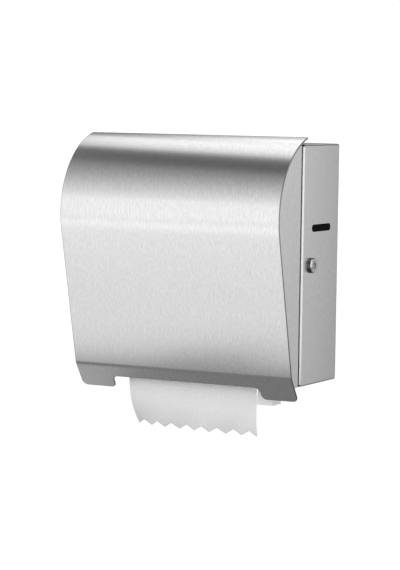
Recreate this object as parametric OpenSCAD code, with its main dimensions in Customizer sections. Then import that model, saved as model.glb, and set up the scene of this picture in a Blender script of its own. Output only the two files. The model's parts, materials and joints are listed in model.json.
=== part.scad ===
// Wall-hung towel dispenser with a pull-driven drum that cuts each towel by itself.
// The back sheet lies in the plane y = 0, the front looks along -Y and +X is the user's right.
// The origin is the centre of the four wall-screw holes. Sizes are in millimetres.

/* [Body] */
// Outside width of the body
body_w = 350; // [330:1:400]
// Outside height of the body
body_h = 340; // [330:1:380]
// Depth of the body from the wall to its mouth
body_d = 115; // [110:1:130]
// Thickness of the body sheet
body_t = 1.2; // [0.8:0.1:2]
// Width of the return flange round the mouth of the body
flange_w = 12; // [8:1:15]
// Radius of each wall-screw hole
wall_hole_r = 3; // [2:0.5:4]
// Sideways spacing of the wall-screw holes
wall_hole_dx = 306; // [296:2:320]
// Upright spacing of the wall-screw holes
wall_hole_dz = 220; // [180:5:260]

/* [Cover] */
// How far the front skin stands past each side of the body
skin_over = 1.5; // [1:0.25:3.5]
// Radius of the bowed upper part of the cover
bow_r = 118.5; // [110:0.5:130]
// How far the bow stands out in front of the body
bow_out = 77; // [70:1:85]
// Height of the cover's rear top edge above the body
top_rise = 10.4; // [6:0.2:14]
// Angle above the horizontal at which the bow ends at the top
top_angle = 75; // [70:0.5:80]
// Angle of the straight front from the vertical
front_slope = 12.5; // [10:0.5:14]
// Height of the fold of the lip above the bottom of the body
fold_rise = 13.7; // [10:0.5:20]
// Length of the lip below the fold
lip_len = 41; // [36:1:46]
// Angle of the lip from the vertical
lip_slope = 33; // [28:1:36]
// Thickness of the front skin
skin_t = 1.5; // [1:0.1:2]
// Thickness of the two cheeks
cheek_t = 1.2; // [0.8:0.1:2]
// How far the cheeks sit in from the edges of the skin
cheek_inset = 3.5; // [2:0.5:5]
// Length of lip that each cheek runs along below the fold
cheek_drop = 17; // [10:1:24]
// Gap between the cheeks and the body, which holds the hinge
cover_gap = 4.3; // [4:0.1:6]
// Radius of the outer corners of the lip
lip_corner_r = 9; // [4:1:12]
// Width of the notch that shows the towel
notch_w = 239; // [225:1:250]
// Height of the notch above the edge of the lip
notch_h = 20.5; // [17:0.5:24]
// Radius of the corners of the notch
notch_r = 8; // [3:0.5:8]
// Height of the stiffening rail above the fold
rail_up = 30; // [20:1:60]
// Width of the stiffening rail
rail_h = 26; // [16:1:36]
// Depth of the stiffening rail
rail_d = 8; // [4:1:12]

/* [Window] */
// Length of the level window
slot_len = 60; // [40:1:70]
// Height of the level window
slot_w = 10.4; // [6:0.2:16]
// Distance of the window's middle from the wall
slot_y = 57; // [45:1:65]
// Height of the window's middle
slot_z = 52; // [40:0.5:80]
// Thickness of the lens plate
lens_t = 2; // [1:0.5:3]
// How far the lens plate reaches past the window
lens_margin = 5; // [3:1:8]

/* [Lock] */
// Distance of the lock from the wall
lock_y = 89; // [84:1:92]
// Height of the lock
lock_z = 0; // [-6:1:6]
// Radius of the lock's head
head_r = 10.8; // [10:0.2:13]
// How far the lock's head stands out
head_out = 6; // [4:0.5:8]
// Radius of the lock's barrel
barrel_r = 9.4; // [8:0.2:10]
// Length of the lock's barrel inside the body
barrel_len = 24; // [22:1:28]
// Radius of the turning plug
plug_r = 6; // [5:0.5:7]
// Length of the cam from the lock's axis
cam_len = 24; // [20:1:28]
// Width of the cam
cam_w = 10; // [8:1:12]
// Thickness of the cam
cam_t = 2.5; // [1.5:0.5:3]
// Thickness of the strike that the cam catches
strike_t = 2; // [1.5:0.5:2.5]
// Height of the strike
strike_h = 18; // [12:1:22]

/* [Hinge] */
// Radius of the hinge knuckles
knuckle_r = 1.8; // [1.5:0.1:1.9]
// Radius of the hinge pins
hinge_pin_r = 0.9; // [0.6:0.1:1]
// Height of each hinge
leaf_h = 60; // [40:1:80]
// Width of each hinge leaf
leaf_w = 9; // [6:1:11]
// Thickness of the hinge leaves
leaf_t = 1; // [0.6:0.1:1.2]
// Height of each hinge's middle from the middle of the body
hinge_z = 105; // [80:1:120]

/* [Towel] */
// Width of the towel and of its roll
towel_w = 210; // [190:1:220]
// Radius of the roll
roll_r = 80; // [50:1:86]
// Inside radius of the cardboard core
core_r = 19; // [18:0.5:25]
// Wall of the cardboard core
core_t = 1.5; // [1:0.5:3]
// Distance of the roll's axis from the wall
roll_y = 92; // [88:1:96]
// Distance of the roll's axis below the top of the body
roll_drop = 108; // [100:1:116]
// Thickness of the modelled towel
paper_t = 0.4; // [0.3:0.1:0.6]
// Length of towel that hangs below the body
tail_len = 77; // [50:1:110]
// Height of the teeth along the cut edge
tooth_h = 7.5; // [4:0.5:10]
// Number of teeth along the cut edge and on the knife
teeth = 8; // [6:1:14]
// How far the lower left corner of the towel curls back
curl_back = 24; // [0:1:30]

/* [Drum] */
// Radius of the drum over its grip bands
drum_r = 38; // [35:1:40]
// Wall of the drum shell
drum_wall = 3; // [2:0.5:4]
// Height of the drum's axis above the bottom of the body
drum_up = 58; // [54:1:62]
// Distance of the hanging towel behind the mouth of the body
towel_in = 4; // [3:0.5:6]
// Radius of the drum axle
axle_r = 4; // [3:0.5:5]
// Thickness of the drum's end caps
cap_t = 3; // [2.5:0.5:4]
// Width of each rubber grip band
band_w = 14; // [8:1:20]
// Thickness of the rubber grip bands
band_t = 0.5; // [0.3:0.1:1]
// Number of grip bands
bands = 5; // [3:1:7]
// Radius of the feed knob
knob_r = 22; // [16:1:26]
// Width of the feed knob
knob_w = 20; // [14:1:24]
// Number of teeth on the ratchet wheel
ratchet_teeth = 12; // [8:1:18]
// Radius of the ratchet wheel
ratchet_r = 17; // [14:1:19]
// Direction of the knife slot at rest, turned from +Y towards +Z
knife_dir = 235; // [230:1:240]
// Travel of the knife
knife_out = 8; // [6:0.5:8]

/* [Pinch roller] */
// Radius of the pinch roller
pinch_r = 8; // [6:0.5:9]
// Angle of the pinch roller behind the top of the drum
pinch_tilt = 20; // [18:1:22]
// Radius of the pinch roller's axle
pinch_axle_r = 3; // [2:0.5:3.5]
// Lift of the pinch roller for threading
pinch_lift = 4; // [2:0.5:5]

/* [Drive] */
// Radius of the drive housing round the drum's axis
housing_r = 34; // [32:1:36]
// Side room beside the return spring in the drive housing
housing_room = 1; // [0.5:0.5:6]
// Wall of the drive housing
housing_t = 2; // [1.5:0.5:2.5]
// How far the housing's nose hangs below the body
nose_down = 30; // [20:1:36]
// Radius of the crank disc
crank_r = 26; // [24:1:28]
// Throw of the crank pin
crank_throw = 20; // [16:1:21]
// Radius of the return spring's curls
spring_r = 3.5; // [3:0.5:5]
// Wire diameter of the return spring
spring_wire = 1; // [0.8:0.1:1.2]
// Number of curls of the return spring
spring_curls = 22; // [14:1:24]

/* [Frame] */
// Thickness of the side plates
plate_t = 3; // [2:0.5:4]
// Radius of the two tie rods
tie_r = 3; // [2:0.5:4]
// Thickness of the paper guides
guide_t = 2; // [1.5:0.5:3]
// Thickness of the mounting feet
foot_t = 3; // [2:0.5:4]
// Width of the mounting feet
foot_w = 20; // [16:1:24]
// Radius of the mechanism screws
screw_r = 2; // [1.5:0.25:2.5]
// Radius of the roll hubs' flanges
hub_r = 25; // [22:1:30]
// Length of each hub's nose inside the core
nose_len = 11; // [8:1:12]
// Radius of the right arm's pivot pin
arm_pin_r = 2.5; // [2:0.25:3]

/* [Hidden] */
$fn = 120;

// Clearances
run_gap = 0.05;   // shaft in its bearing
slide_gap = 0.15; // flat faces that slide
web_gap = 0.4;    // towel beside what turns
side_gap = 0.8;   // roll beside its hubs
end_gap = 1;      // drum beside the side plates
cut = 1;          // overshoot of every cutting solid

// Sheet-metal colours and plastics
steel = [0.80, 0.81, 0.82];
dark_steel = [0.45, 0.46, 0.48];
white_plastic = [0.93, 0.93, 0.91];
grey_plastic = [0.55, 0.57, 0.60];
rubber = [0.15, 0.15, 0.16];
paper = [0.96, 0.96, 0.95];
card = [0.70, 0.58, 0.42];

// Outline of the cover, as points [y, z] and angles
bow_c = [bow_r - body_d - bow_out, body_h / 2 + top_rise - bow_r * sin(top_angle)];
front_top = on_bow(bow_r, -front_slope);
front_top_in = on_bow(bow_r - skin_t, -front_slope);
fold_z = fold_rise - body_h / 2;
fold = [front_top.x + (front_top.y - fold_z) * tan(front_slope), fold_z];
fold_mid = (front_slope + lip_slope) / 2;
fold_in = fold + skin_t / cos(lip_slope - fold_mid) * [cos(fold_mid), sin(fold_mid)];
lip_dir = [sin(lip_slope), -cos(lip_slope)];
lip_end = fold + lip_len * lip_dir;
lip_end_in = lip_end + skin_t * [cos(lip_slope), sin(lip_slope)];
skin_w = body_w + 2 * skin_over;
cheek_rear = -body_d - cover_gap;
cheek_toe = fold_in + cheek_drop * lip_dir;
cheek_heel_z = -body_h / 2;
cheek_x = skin_w / 2 - cheek_inset - cheek_t;

// Places in the body
side_x = body_w / 2 - body_t;
floor_z = body_t - body_h / 2;
lock_c = [-lock_y, lock_z];
window_c = [-slot_y, slot_z];
barrel_x = body_w / 2 - barrel_len;
cam_x = barrel_x - slide_gap - cam_t;
nut_t = 5;
nut_r = 14;
key_ring = [2.4, 4.2];
key_depth = 4;
key_notch = 1.6;
plug_proud = 0.4;
head_bevel = 1.4;
tail_r = 3.5;
cam_eye = 2;
cam_screw_r = 4.5;
cam_screw_t = 3;
pad_proud = 0.7;

// Strike
strike_room = 3;
strike_x = body_w / 2 - flange_w - 3 * strike_room;
strike_z = lock_z + barrel_r + strike_room;
strike_wall_y = cam_w / 2 + strike_room - lock_y;
strike_bridge_y = cheek_rear - strike_room;
strike_base = 24;

// Hinge
hinge_x = -cheek_x - cheek_t;
hinge_y = -body_d - cover_gap / 2;
knuckle_h = leaf_h / 3;
knuckle_gap = 0.3;
rivet_r = 1.6;
rivet_t = 0.8;
cover_leaf_w = 14;

// Drum, roll and pinch roller, as points [y, z]
towel_y = towel_in - body_d;
drum_c = [towel_y + paper_t / 2 + web_gap + drum_r, drum_up - body_h / 2];
roll_c = [-roll_y, body_h / 2 - roll_drop];
pinch_dir = [sin(pinch_tilt), cos(pinch_tilt)];
pinch_c = drum_c + (drum_r + pinch_r + 2 * web_gap + paper_t) * pinch_dir;
shell_r = drum_r - band_t;
blade_over = 0.5;
blade_x = towel_w / 2 + blade_over;
cap_x = blade_x + blade_over;
drum_x = cap_x + cap_t;
plate_x = drum_x + end_gap;
plate_out = plate_x + plate_t;

// Bearings and what turns outside the side plates
bush_wall = 3;
bush_r = axle_r + bush_wall;
bush_flange_r = bush_r + bush_wall;
bush_flange_t = 2;
turn_x = plate_out + bush_flange_t + end_gap;
crank_t = 3;
crank_pin_r = 2.5;
spring_gap = 0.5;
crank_pin_len = spring_gap + 2 * spring_r + spring_wire;
housing_w = turn_x + crank_t + crank_pin_len + housing_room + housing_t - plate_out;
ratchet_w = 6;
tooth_depth = 2.5;
tooth_lead = 2;
knob_gap = 2;
knob_x = turn_x + ratchet_w + knob_gap;
knob_grips = 14;
knob_grip_r = 2;

// Knife, in the drum's own frame with the radius along y
blade_t = 1;
blade_w = 14;
blade_in = 1.5;
holder_t = 6;
holder_w = 16;
holder_r = shell_r - blade_in - tooth_h - holder_w;
tenon_w = 12;
tenon_len = 1.6;
knife_side = 0.8;
knife_slot = holder_t + 2 * (blade_t + knife_side);
knife_reach = shell_r - blade_in + knife_out;

// Pinch blocks
block_w = 10;
block_l = 12;
block_t = 6;
pinch_len = towel_w / 2 - end_gap;
seat_t = 2;
pinch_spring_l = 9;
pinch_spring_r = 2.5;
pinch_wire = 0.8;
pinch_curls = 4;

// Frame plates, with the knife's reach and some room kept free round the drum
knife_room = 2.6;
guide_room = 4.4;
guide_y = drum_c.x - knife_reach - knife_room;
guide_low = 48;
guide_high = 14;
guide_rim = 3;
rear_guide_y = drum_c.x + knife_reach + guide_room + guide_t;
plate_rim = 5.6;
plate_top = pinch_c.y + block_l / 2 + pinch_spring_l + seat_t + plate_rim;
plate_rear_l = 38;
plate_front = guide_y - guide_t;
chute_gap = 4;
chute_y = towel_y + chute_gap;
chute_h = 12;
tie_back = 12;
tie_in = 9;
tie_zs = [plate_top - tie_in, floor_z + tie_in];
foot_h = 90;
foot_up = 8;
foot_screw_dz = 60;
screw_head_r = 2 * screw_r;
screw_head_t = 2.4;
mouth_gap = 3;

// Drive housing and return spring
nose_gap = 0.8;
nose_x = towel_w / 2 + nose_gap;
nose_low = -body_h / 2 - nose_down;
nose_lead = 2;
nose_front = towel_y - nose_lead;
nose_d = 27;
nose_back = nose_front + nose_d;
nose_lean = 4;
cavity_x = plate_out + housing_w - housing_t;
anchor_r = 2;
anchor_in = [9, 10];
anchor_c = [nose_front, nose_low] + anchor_in;
anchor_dir = unit(anchor_c - drum_c);
crank_c = drum_c + crank_throw * anchor_dir;
spring_x = turn_x + crank_t + spring_gap + spring_r + spring_wire / 2;
ear_angles = [20, 100, 300];
ear_r = 5;
ear_t = 4;
ear_screw_r = 1.7;

// Roll arms and hubs
hub_x = towel_w / 2 + side_gap;
hub_t = 5;
arm_x = hub_x + hub_t;
arm_t = 3;
arm_r = 17;
arm_h = 44;
arm_foot_h = 52;
arm_screw_dz = 28;
hub_fit = 0.5;
nose_base_r = core_r - hub_fit;
nose_taper = 0.5;
arm_pin_back = 14;
arm_pin_out = 7;
arm_pin_y = -arm_pin_back;
arm_pin_x = arm_x + arm_pin_out;
arm_knuckle_r = 6.5;
ear_h = 5;
arm_gap = 0.4;
arm_spring_h = 14;
arm_spring_r = 3.4;
arm_wire = 1;
arm_curls = 5;

// Pawl
pawl_off = [20, 19];
pawl_c = drum_c + pawl_off;
pawl_r = 4.5;
pawl_pin_r = 2;
pawl_w = 5;
pawl_tip_gap = 0.6;
pawl_tip_a = 52;

function unit(v) = v / norm(v);
function on_bow(r, a) = bow_c + r * [-cos(a), sin(a)];
function polar(c, r, a) = c + r * [cos(a), sin(a)];

// Angle of the outward normal where the towel leaves the roll for the pinch roller
pull = pinch_c - roll_c;
pull_a = atan2(pull.y, pull.x) + acos((roll_r - pinch_r) / norm(pull));
nip_a = 90 - pinch_tilt;

// A solid drawn in the (y, z) plane, from x0 to x1
module xplate(x0, x1) {
    translate([x0, 0, 0]) rotate([90, 0, 90]) linear_extrude(x1 - x0) children();
}

// A solid drawn in the (x, z) plane, from y0 to y1
module yplate(y0, y1) {
    translate([0, y1, 0]) rotate([90, 0, 0]) linear_extrude(y1 - y0) children();
}

// A box between two corners
module box(a, b) {
    translate(a) cube(b - a);
}

// A round bar along X through the point c = [y, z]
module xbar(x0, x1, c, r) {
    translate([x0, c.x, c.y]) rotate([0, 90, 0]) cylinder(r = r, h = x1 - x0);
}

// A tapered round bar along X
module xcone(x0, x1, c, r0, r1) {
    translate([x0, c.x, c.y]) rotate([0, 90, 0]) cylinder(r1 = r0, r2 = r1, h = x1 - x0);
}

// A round bar along Y through x and z
module ybar(y0, y1, x, z, r) {
    translate([x, y1, z]) rotate([90, 0, 0]) cylinder(r = r, h = y1 - y0);
}

// A round bar along Z through the point c = [x, y]
module zbar(z0, z1, c, r) {
    translate([c.x, c.y, z0]) cylinder(r = r, h = z1 - z0);
}

// The rest of a square of side r outside its quarter circle
module corner(r) {
    difference() {
        square(r);
        circle(r);
    }
}

// A long hole drawn along its first axis
module long_hole(len, w) {
    half = (len - w) / 2;
    translate([-half, -w / 2]) square([2 * half, w]);
    for (s = [-1, 1]) translate([s * half, 0]) circle(d = w);
}

// Turns the drum's own frame, with the radius along y, to the rest direction of the knife
module at_knife() {
    translate([0, drum_c.x, drum_c.y]) rotate([knife_dir, 0, 0]) children();
}

// Puts a shape, drawn with z along the pinch roller's lift, at the pinch roller's axis
module at_pinch() {
    translate([0, pinch_c.x, pinch_c.y]) rotate([-pinch_tilt, 0, 0]) children();
}

// Puts a shape at the edge of the lip: x along the edge, z up the lip, y into the cover
module at_lip() {
    translate([0, lip_end.x, lip_end.y]) rotate([lip_slope, 0, 0]) children();
}

// One unbroken round wire through a list of points, as a six-sided tube
wire_sides = 6;
wire_up = [0.31, 0.52, 0.79];
function turned(n, t) = unit(n - (n * t) * t);
function wire_frames(p, t) = [
    for (i = 0, n = turned(wire_up, t[0]); i < len(p); i = i + 1, n = turned(n, t[min(i, len(p) - 1)])) n
];
module wire(p, r) {
    last = len(p) - 1;
    t = [for (i = [0 : last]) unit(p[min(i + 1, last)] - p[max(i - 1, 0)])];
    n = wire_frames(p, t);
    rings = [
        for (i = [0 : last], k = [0 : wire_sides - 1])
            let (a = 360 * k / wire_sides) p[i] + r * (cos(a) * n[i] + sin(a) * cross(t[i], n[i]))
    ];
    walls = [
        for (i = [0 : last - 1], k = [0 : wire_sides - 1])
            let (k1 = (k + 1) % wire_sides, a = i * wire_sides, b = a + wire_sides)
                each [[a + k, b + k, b + k1], [a + k, b + k1, a + k1]]
    ];
    caps = [
        for (k = [1 : wire_sides - 2]) each [[0, k, k + 1], [0, k + 1, k] + last * wire_sides * [1, 1, 1]]
    ];
    polyhedron(rings, concat(walls, caps));
}

// Points of a coil from a to b, with straight ends and rings_per_turn rings to each curl
rings_per_turn = 8;
function coil(a, b, r, curls, end) = let (
    w = unit(b - a),
    u = unit(cross(w, abs(w.x) < 0.9 ? [1, 0, 0] : [0, 1, 0])),
    v = cross(w, u),
    steps = curls * rings_per_turn,
    run = norm(b - a) - 2 * end
) concat(
    [a],
    [
        for (i = [0 : steps])
            let (
                q = i / steps,
                g = min(1, 2 * min(i, steps - i) / rings_per_turn),
                s = 360 * i / rings_per_turn
            ) a + (end + q * run) * w + r * g * (cos(s) * u + sin(s) * v)
    ],
    [b]
);

// Least distance between the surfaces of two curls of the same wire
function wire_gap(p, wire_d) = let (near = rings_per_turn / 2 + 1, far = 2 * rings_per_turn) min([
    for (i = [0 : len(p) - 1], j = [i + near : 1 : min(i + far, len(p) - 1)]) norm(p[i] - p[j])
]) - wire_d;

// Body

module body_shell() {
    outer = [body_w / 2, 0, body_h / 2];
    color(steel) difference() {
        box([-outer.x, -body_d, -outer.z], outer);
        box([-side_x, body_t - body_d, floor_z], [side_x, -body_t, -floor_z]);
        box([flange_w - outer.x, -body_d - cut, flange_w - outer.z],
            [outer.x - flange_w, 2 * body_t - body_d, outer.z - flange_w]);
        box([-plate_out - mouth_gap, -body_d - cut, -outer.z - cut],
            [plate_out + housing_w + mouth_gap, nose_back + 2 * mouth_gap, flange_w + cut - outer.z]);
        for (x = [-1, 1], z = [-1, 1])
            ybar(-body_t - cut, cut, x * wall_hole_dx / 2, z * wall_hole_dz / 2, wall_hole_r);
        for (p = foot_screws()) ybar(-body_t - cut, cut, p.x, p.y, screw_r);
        xplate(side_x - cut, outer.x + cut) {
            translate(window_c) long_hole(slot_len, slot_w);
            translate(lock_c) circle(barrel_r);
        }
    }
}

module window_lens() {
    color([0.08, 0.08, 0.09]) {
        xplate(side_x - lens_t, side_x)
            translate(window_c) long_hole(slot_len + 2 * lens_margin, slot_w + 2 * lens_margin);
        xplate(side_x, side_x + pad_proud)
            translate(window_c) long_hole(slot_len - 2 * slide_gap, slot_w - 2 * slide_gap);
    }
}

module lock_housing() {
    face = body_w / 2 + head_out;
    color(dark_steel) difference() {
        union() {
            xbar(barrel_x, body_w / 2, lock_c, barrel_r);
            xbar(body_w / 2, face - head_bevel, lock_c, head_r);
            xcone(face - head_bevel, face, lock_c, head_r, head_r - head_bevel);
        }
        xbar(barrel_x - cut, face + cut, lock_c, plug_r + run_gap);
    }
}

module lock_nut() {
    color(steel) difference() {
        translate([side_x - nut_t, lock_c.x, lock_c.y]) rotate([0, 90, 0])
            cylinder(r = nut_r, h = nut_t, $fn = 6);
        xbar(side_x - nut_t - cut, side_x + cut, lock_c, barrel_r);
    }
}

module lock_plug() {
    face = body_w / 2 + head_out + plug_proud;
    color(steel) difference() {
        union() {
            xbar(barrel_x, face, lock_c, plug_r);
            xbar(cam_x, barrel_x, lock_c, tail_r);
        }
        difference() {
            xbar(face - key_depth, face + cut, lock_c, key_ring[1]);
            xbar(face - key_depth - cut, face + 2 * cut, lock_c, key_ring[0]);
        }
        box([face - key_depth, lock_c.x - key_notch / 2, lock_c.y],
            [face + cut, lock_c.x + key_notch / 2, lock_c.y + plug_r - run_gap]);
    }
}

// The cam points to the front when the lock is open and turns up to catch the strike
module lock_cam() {
    reach = cam_len - cam_w / 2;
    color(dark_steel) xplate(cam_x, cam_x + cam_t) translate(lock_c) difference() {
        union() {
            circle(cam_w / 2 + cam_eye);
            translate([-reach, -cam_w / 2]) square([reach, cam_w]);
            translate([-reach, 0]) circle(cam_w / 2);
        }
        circle(tail_r);
    }
}

module lock_cam_screw() {
    color(dark_steel) difference() {
        xbar(cam_x - cam_screw_t, cam_x, lock_c, cam_screw_r);
        box([cam_x - cam_screw_t - cut, lock_c.x - cam_screw_r, lock_c.y - key_notch / 2],
            [cam_x - cam_screw_t / 2, lock_c.x + cam_screw_r, lock_c.y + key_notch / 2]);
    }
}

// Hinge

module hinge_body_leaves() {
    z1 = leaf_h / 2;
    z0 = knuckle_h / 2 + knuckle_gap;
    color(steel) for (m = [-1, 1]) translate([0, 0, m * hinge_z]) difference() {
        union() {
            box([hinge_x, -body_d - leaf_t, -z1], [hinge_x + leaf_w, -body_d, z1]);
            for (s = [[-z1, -z0], [z0, z1]]) zbar(s[0], s[1], [hinge_x, hinge_y], knuckle_r);
        }
        zbar(-z1 - cut, z1 + cut, [hinge_x, hinge_y], hinge_pin_r + run_gap);
        zbar(-z0, z0, [hinge_x, hinge_y], knuckle_r + 2 * knuckle_gap);
    }
}

module hinge_cover_leaves() {
    z1 = leaf_h / 2;
    z0 = knuckle_h / 2;
    inner = -cheek_x;
    front = hinge_y - knuckle_r - 2 * knuckle_gap;
    color(steel) for (m = [-1, 1]) translate([0, 0, m * hinge_z]) difference() {
        union() {
            box([inner, hinge_y - cover_leaf_w, -z1], [inner + leaf_t, front, z1]);
            box([inner, front, -z0], [inner + leaf_t, hinge_y, z0]);
            zbar(-z0, z0, [hinge_x, hinge_y], knuckle_r);
        }
        zbar(-z1 - cut, z1 + cut, [hinge_x, hinge_y], hinge_pin_r + run_gap);
    }
}

module hinge_pins() {
    color(dark_steel) for (m = [-1, 1])
        zbar(m * hinge_z - leaf_h / 2, m * hinge_z + leaf_h / 2, [hinge_x, hinge_y], hinge_pin_r);
}

module cover_rivets() {
    y = (hinge_y - knuckle_r + hinge_y - cover_leaf_w) / 2;
    color(steel) for (m = [-1, 1], s = [-1, 1])
        xbar(leaf_t - cheek_x, leaf_t + rivet_t - cheek_x, [y, m * hinge_z + s * leaf_h / 3], rivet_r);
}

// Cover

module cover_section() {
    far = 2 * bow_r;
    intersection() {
        translate(bow_c) difference() {
            circle(bow_r);
            circle(bow_r - skin_t);
        }
        polygon([bow_c, on_bow(far, top_angle), on_bow(far, -front_slope)]);
    }
    polygon([front_top, fold, lip_end, lip_end_in, fold_in, front_top_in]);
}

// The wide notch in the lip, with rounded corners above and below
module notch() {
    half = notch_w / 2;
    difference() {
        translate([-half, -cut]) square([notch_w, notch_h + cut]);
        for (m = [0, 1]) mirror([m, 0]) translate([half - notch_r, notch_h - notch_r]) corner(notch_r);
    }
    for (m = [0, 1]) mirror([m, 0]) translate([half + notch_r, notch_r]) rotate(180) corner(notch_r);
}

module cover_skin() {
    half = skin_w / 2;
    inner = [half - lip_corner_r, lip_corner_r];
    color(steel) difference() {
        xplate(-half, half) cover_section();
        at_lip() yplate(-2 * skin_t, 3 * skin_t) {
            notch();
            for (m = [0, 1]) mirror([m, 0]) translate(inner) rotate(-90) corner(lip_corner_r);
        }
    }
}

module cheek_outline() {
    far = 3 * bow_r;
    intersection() {
        union() {
            translate(bow_c) circle(bow_r - skin_t);
            polygon([
                front_top_in, fold_in, cheek_toe, [cheek_rear, cheek_heel_z], [cheek_rear, front_top_in.y]
            ]);
        }
        translate([cheek_rear - far, -far]) square([far, 2 * far]);
    }
}

module cover_cheek_left() {
    color(steel) xplate(-cheek_x - cheek_t, -cheek_x) cheek_outline();
}

module cover_cheek_right() {
    color(steel) xplate(cheek_x, cheek_x + cheek_t) cheek_outline();
}

// A channel welded across the inside of the straight front
module cover_rail() {
    half = cheek_x - 2 * cover_gap;
    color(steel) translate([0, fold_in.x, fold_in.y]) rotate([front_slope, 0, 0])
        translate([0, 0, rail_up]) difference() {
            box([-half, 0, 0], [half, rail_d, rail_h]);
            box([-half - cut, -cut, cheek_t], [half + cut, rail_d - cheek_t, rail_h - cheek_t]);
        }
}

module lock_strike() {
    z0 = strike_z;
    z1 = strike_z + strike_h;
    color(steel) {
        box([cheek_x - strike_t, strike_bridge_y - strike_base, z0], [cheek_x, strike_bridge_y, z1]);
        box([strike_x, strike_bridge_y - strike_t, z0], [cheek_x, strike_bridge_y, z1]);
        box([strike_x, strike_bridge_y - strike_t, z0], [strike_x + strike_t, strike_wall_y + strike_t, z1]);
        box([cam_x - strike_room, strike_wall_y, z0], [strike_x + strike_t, strike_wall_y + strike_t, z1]);
    }
}

// Frame of the mechanism

module plate_outline() {
    rear = -body_t;
    low = floor_z + end_gap;
    difference() {
        polygon([
            [rear, low], [rear, plate_top], [rear - plate_rear_l, plate_top],
            [pinch_c.x - 2 * block_w, plate_top - block_w], [plate_front, drum_c.y + guide_high + guide_rim],
            [plate_front, drum_c.y - guide_low - guide_rim], [plate_front + 2 * block_w, low]
        ]);
        translate(drum_c) circle(bush_r);
        translate(pinch_c) rotate(-pinch_tilt) translate([-block_w / 2 - slide_gap, -block_l / 2 - slide_gap])
            square([block_w + 2 * slide_gap, block_l + pinch_lift + 2 * slide_gap]);
        for (z = tie_zs) translate([rear - tie_back, z]) circle(tie_r);
    }
}

// Heights of the mounting feet, the same on both sides
foot_mid = drum_c.y + foot_up;
function foot_screws() = [
    for (s = [-1, 1], z = [-1, 1]) [s * (plate_out + foot_w / 2), foot_mid + z * foot_screw_dz / 2],
    for (s = [-1, 1], z = [-1, 1]) [s * (arm_x + arm_t + foot_w / 2), roll_c.y + z * arm_screw_dz / 2]
];

// A foot against the back sheet, from x0 outwards, with its screw holes
module foot(x0, x1, mid, h) {
    difference() {
        box([x0, -body_t - foot_t, mid - h / 2], [x1, -body_t, mid + h / 2]);
        for (p = foot_screws()) ybar(-body_t - foot_t - cut, cut, p.x, p.y, screw_r);
    }
}

// The seat that holds the top of a pinch spring, outside a side plate
module spring_seat(x0, x1) {
    z0 = block_l / 2 + pinch_spring_l;
    at_pinch() box([x0, -block_w / 2, z0], [x1, block_w / 2, z0 + seat_t]);
}

module frame_plate_left() {
    color(white_plastic) {
        difference() {
            xplate(-plate_out, -plate_x) plate_outline();
            xbar(-plate_out - cut, cut - plate_x, pawl_c, pawl_pin_r);
        }
        foot(-plate_out - foot_w, -plate_x, foot_mid, foot_h);
        spring_seat(-plate_out - block_t, -plate_x);
    }
}

module frame_plate_right() {
    color(white_plastic) {
        difference() {
            xplate(plate_x, plate_out) plate_outline();
            for (a = ear_angles) xbar(plate_x - cut, plate_out + cut, ear_c(a), ear_screw_r);
        }
        foot(plate_x, plate_out + foot_w, foot_mid, foot_h);
        spring_seat(plate_x, plate_out + block_t);
    }
}

module tie_rods() {
    color(dark_steel) for (z = tie_zs) xbar(-plate_out, plate_out, [-body_t - tie_back, z], tie_r);
}

module rear_guide() {
    low = tie_zs[1] + 2 * tie_r;
    high = tie_zs[0] - 2 * tie_r;
    color(white_plastic) xplate(-plate_x, plate_x)
        translate([rear_guide_y - guide_t, low]) square([guide_t, high - low]);
}

// Upright guide in front of the towel, with a rolled top edge
module exit_guide() {
    top = drum_c.y + guide_high;
    color(white_plastic) xplate(-plate_x, plate_x) {
        translate([guide_y - guide_t, drum_c.y - guide_low]) square([guide_t, guide_low + guide_high]);
        translate([guide_y - guide_t, top]) circle(guide_t);
    }
}

module exit_chute() {
    z0 = floor_z + end_gap;
    color(white_plastic) xplate(-plate_x, plate_x) {
        translate([chute_y, z0]) square([guide_t, chute_h]);
        translate([chute_y, z0]) square([3 * guide_t, guide_t]);
    }
}

module frame_screws() {
    back = -body_t - foot_t;
    color(dark_steel) for (p = foot_screws()) difference() {
        union() {
            ybar(back, -body_t / 4, p.x, p.y, screw_r);
            ybar(back - screw_head_t, back, p.x, p.y, screw_head_r);
        }
        box([p.x - screw_head_r, back - screw_head_t - cut, p.y - screw_r / 4],
            [p.x + screw_head_r, back - screw_head_t / 2, p.y + screw_r / 4]);
    }
}

module drum_bearing_left() {
    color(grey_plastic) mirror([1, 0, 0]) drum_bearing();
}

module drum_bearing_right() {
    color(grey_plastic) drum_bearing();
}

module drum_bearing() {
    difference() {
        union() {
            xbar(plate_x, plate_out, drum_c, bush_r);
            xbar(plate_out, plate_out + bush_flange_t, drum_c, bush_flange_r);
        }
        xbar(plate_x - cut, plate_out + bush_flange_t + cut, drum_c, axle_r + run_gap);
    }
}

// Drive

function ear_c(a) = polar(drum_c, housing_r + ear_r / 2, a);

// Outline of the drive housing, smaller by t for its inside
module housing_outline(t) {
    translate(drum_c) circle(housing_r - t);
    polygon([
        [nose_front + nose_lean + t, drum_c.y], [nose_front + nose_lean + t, -body_h / 2],
        [nose_front + t, nose_low + t], [nose_back - t, nose_low + t],
        [nose_back - t, -body_h / 2], [drum_c.x, drum_c.y - housing_r + t], [drum_c.x, drum_c.y]
    ]);
}

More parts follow.
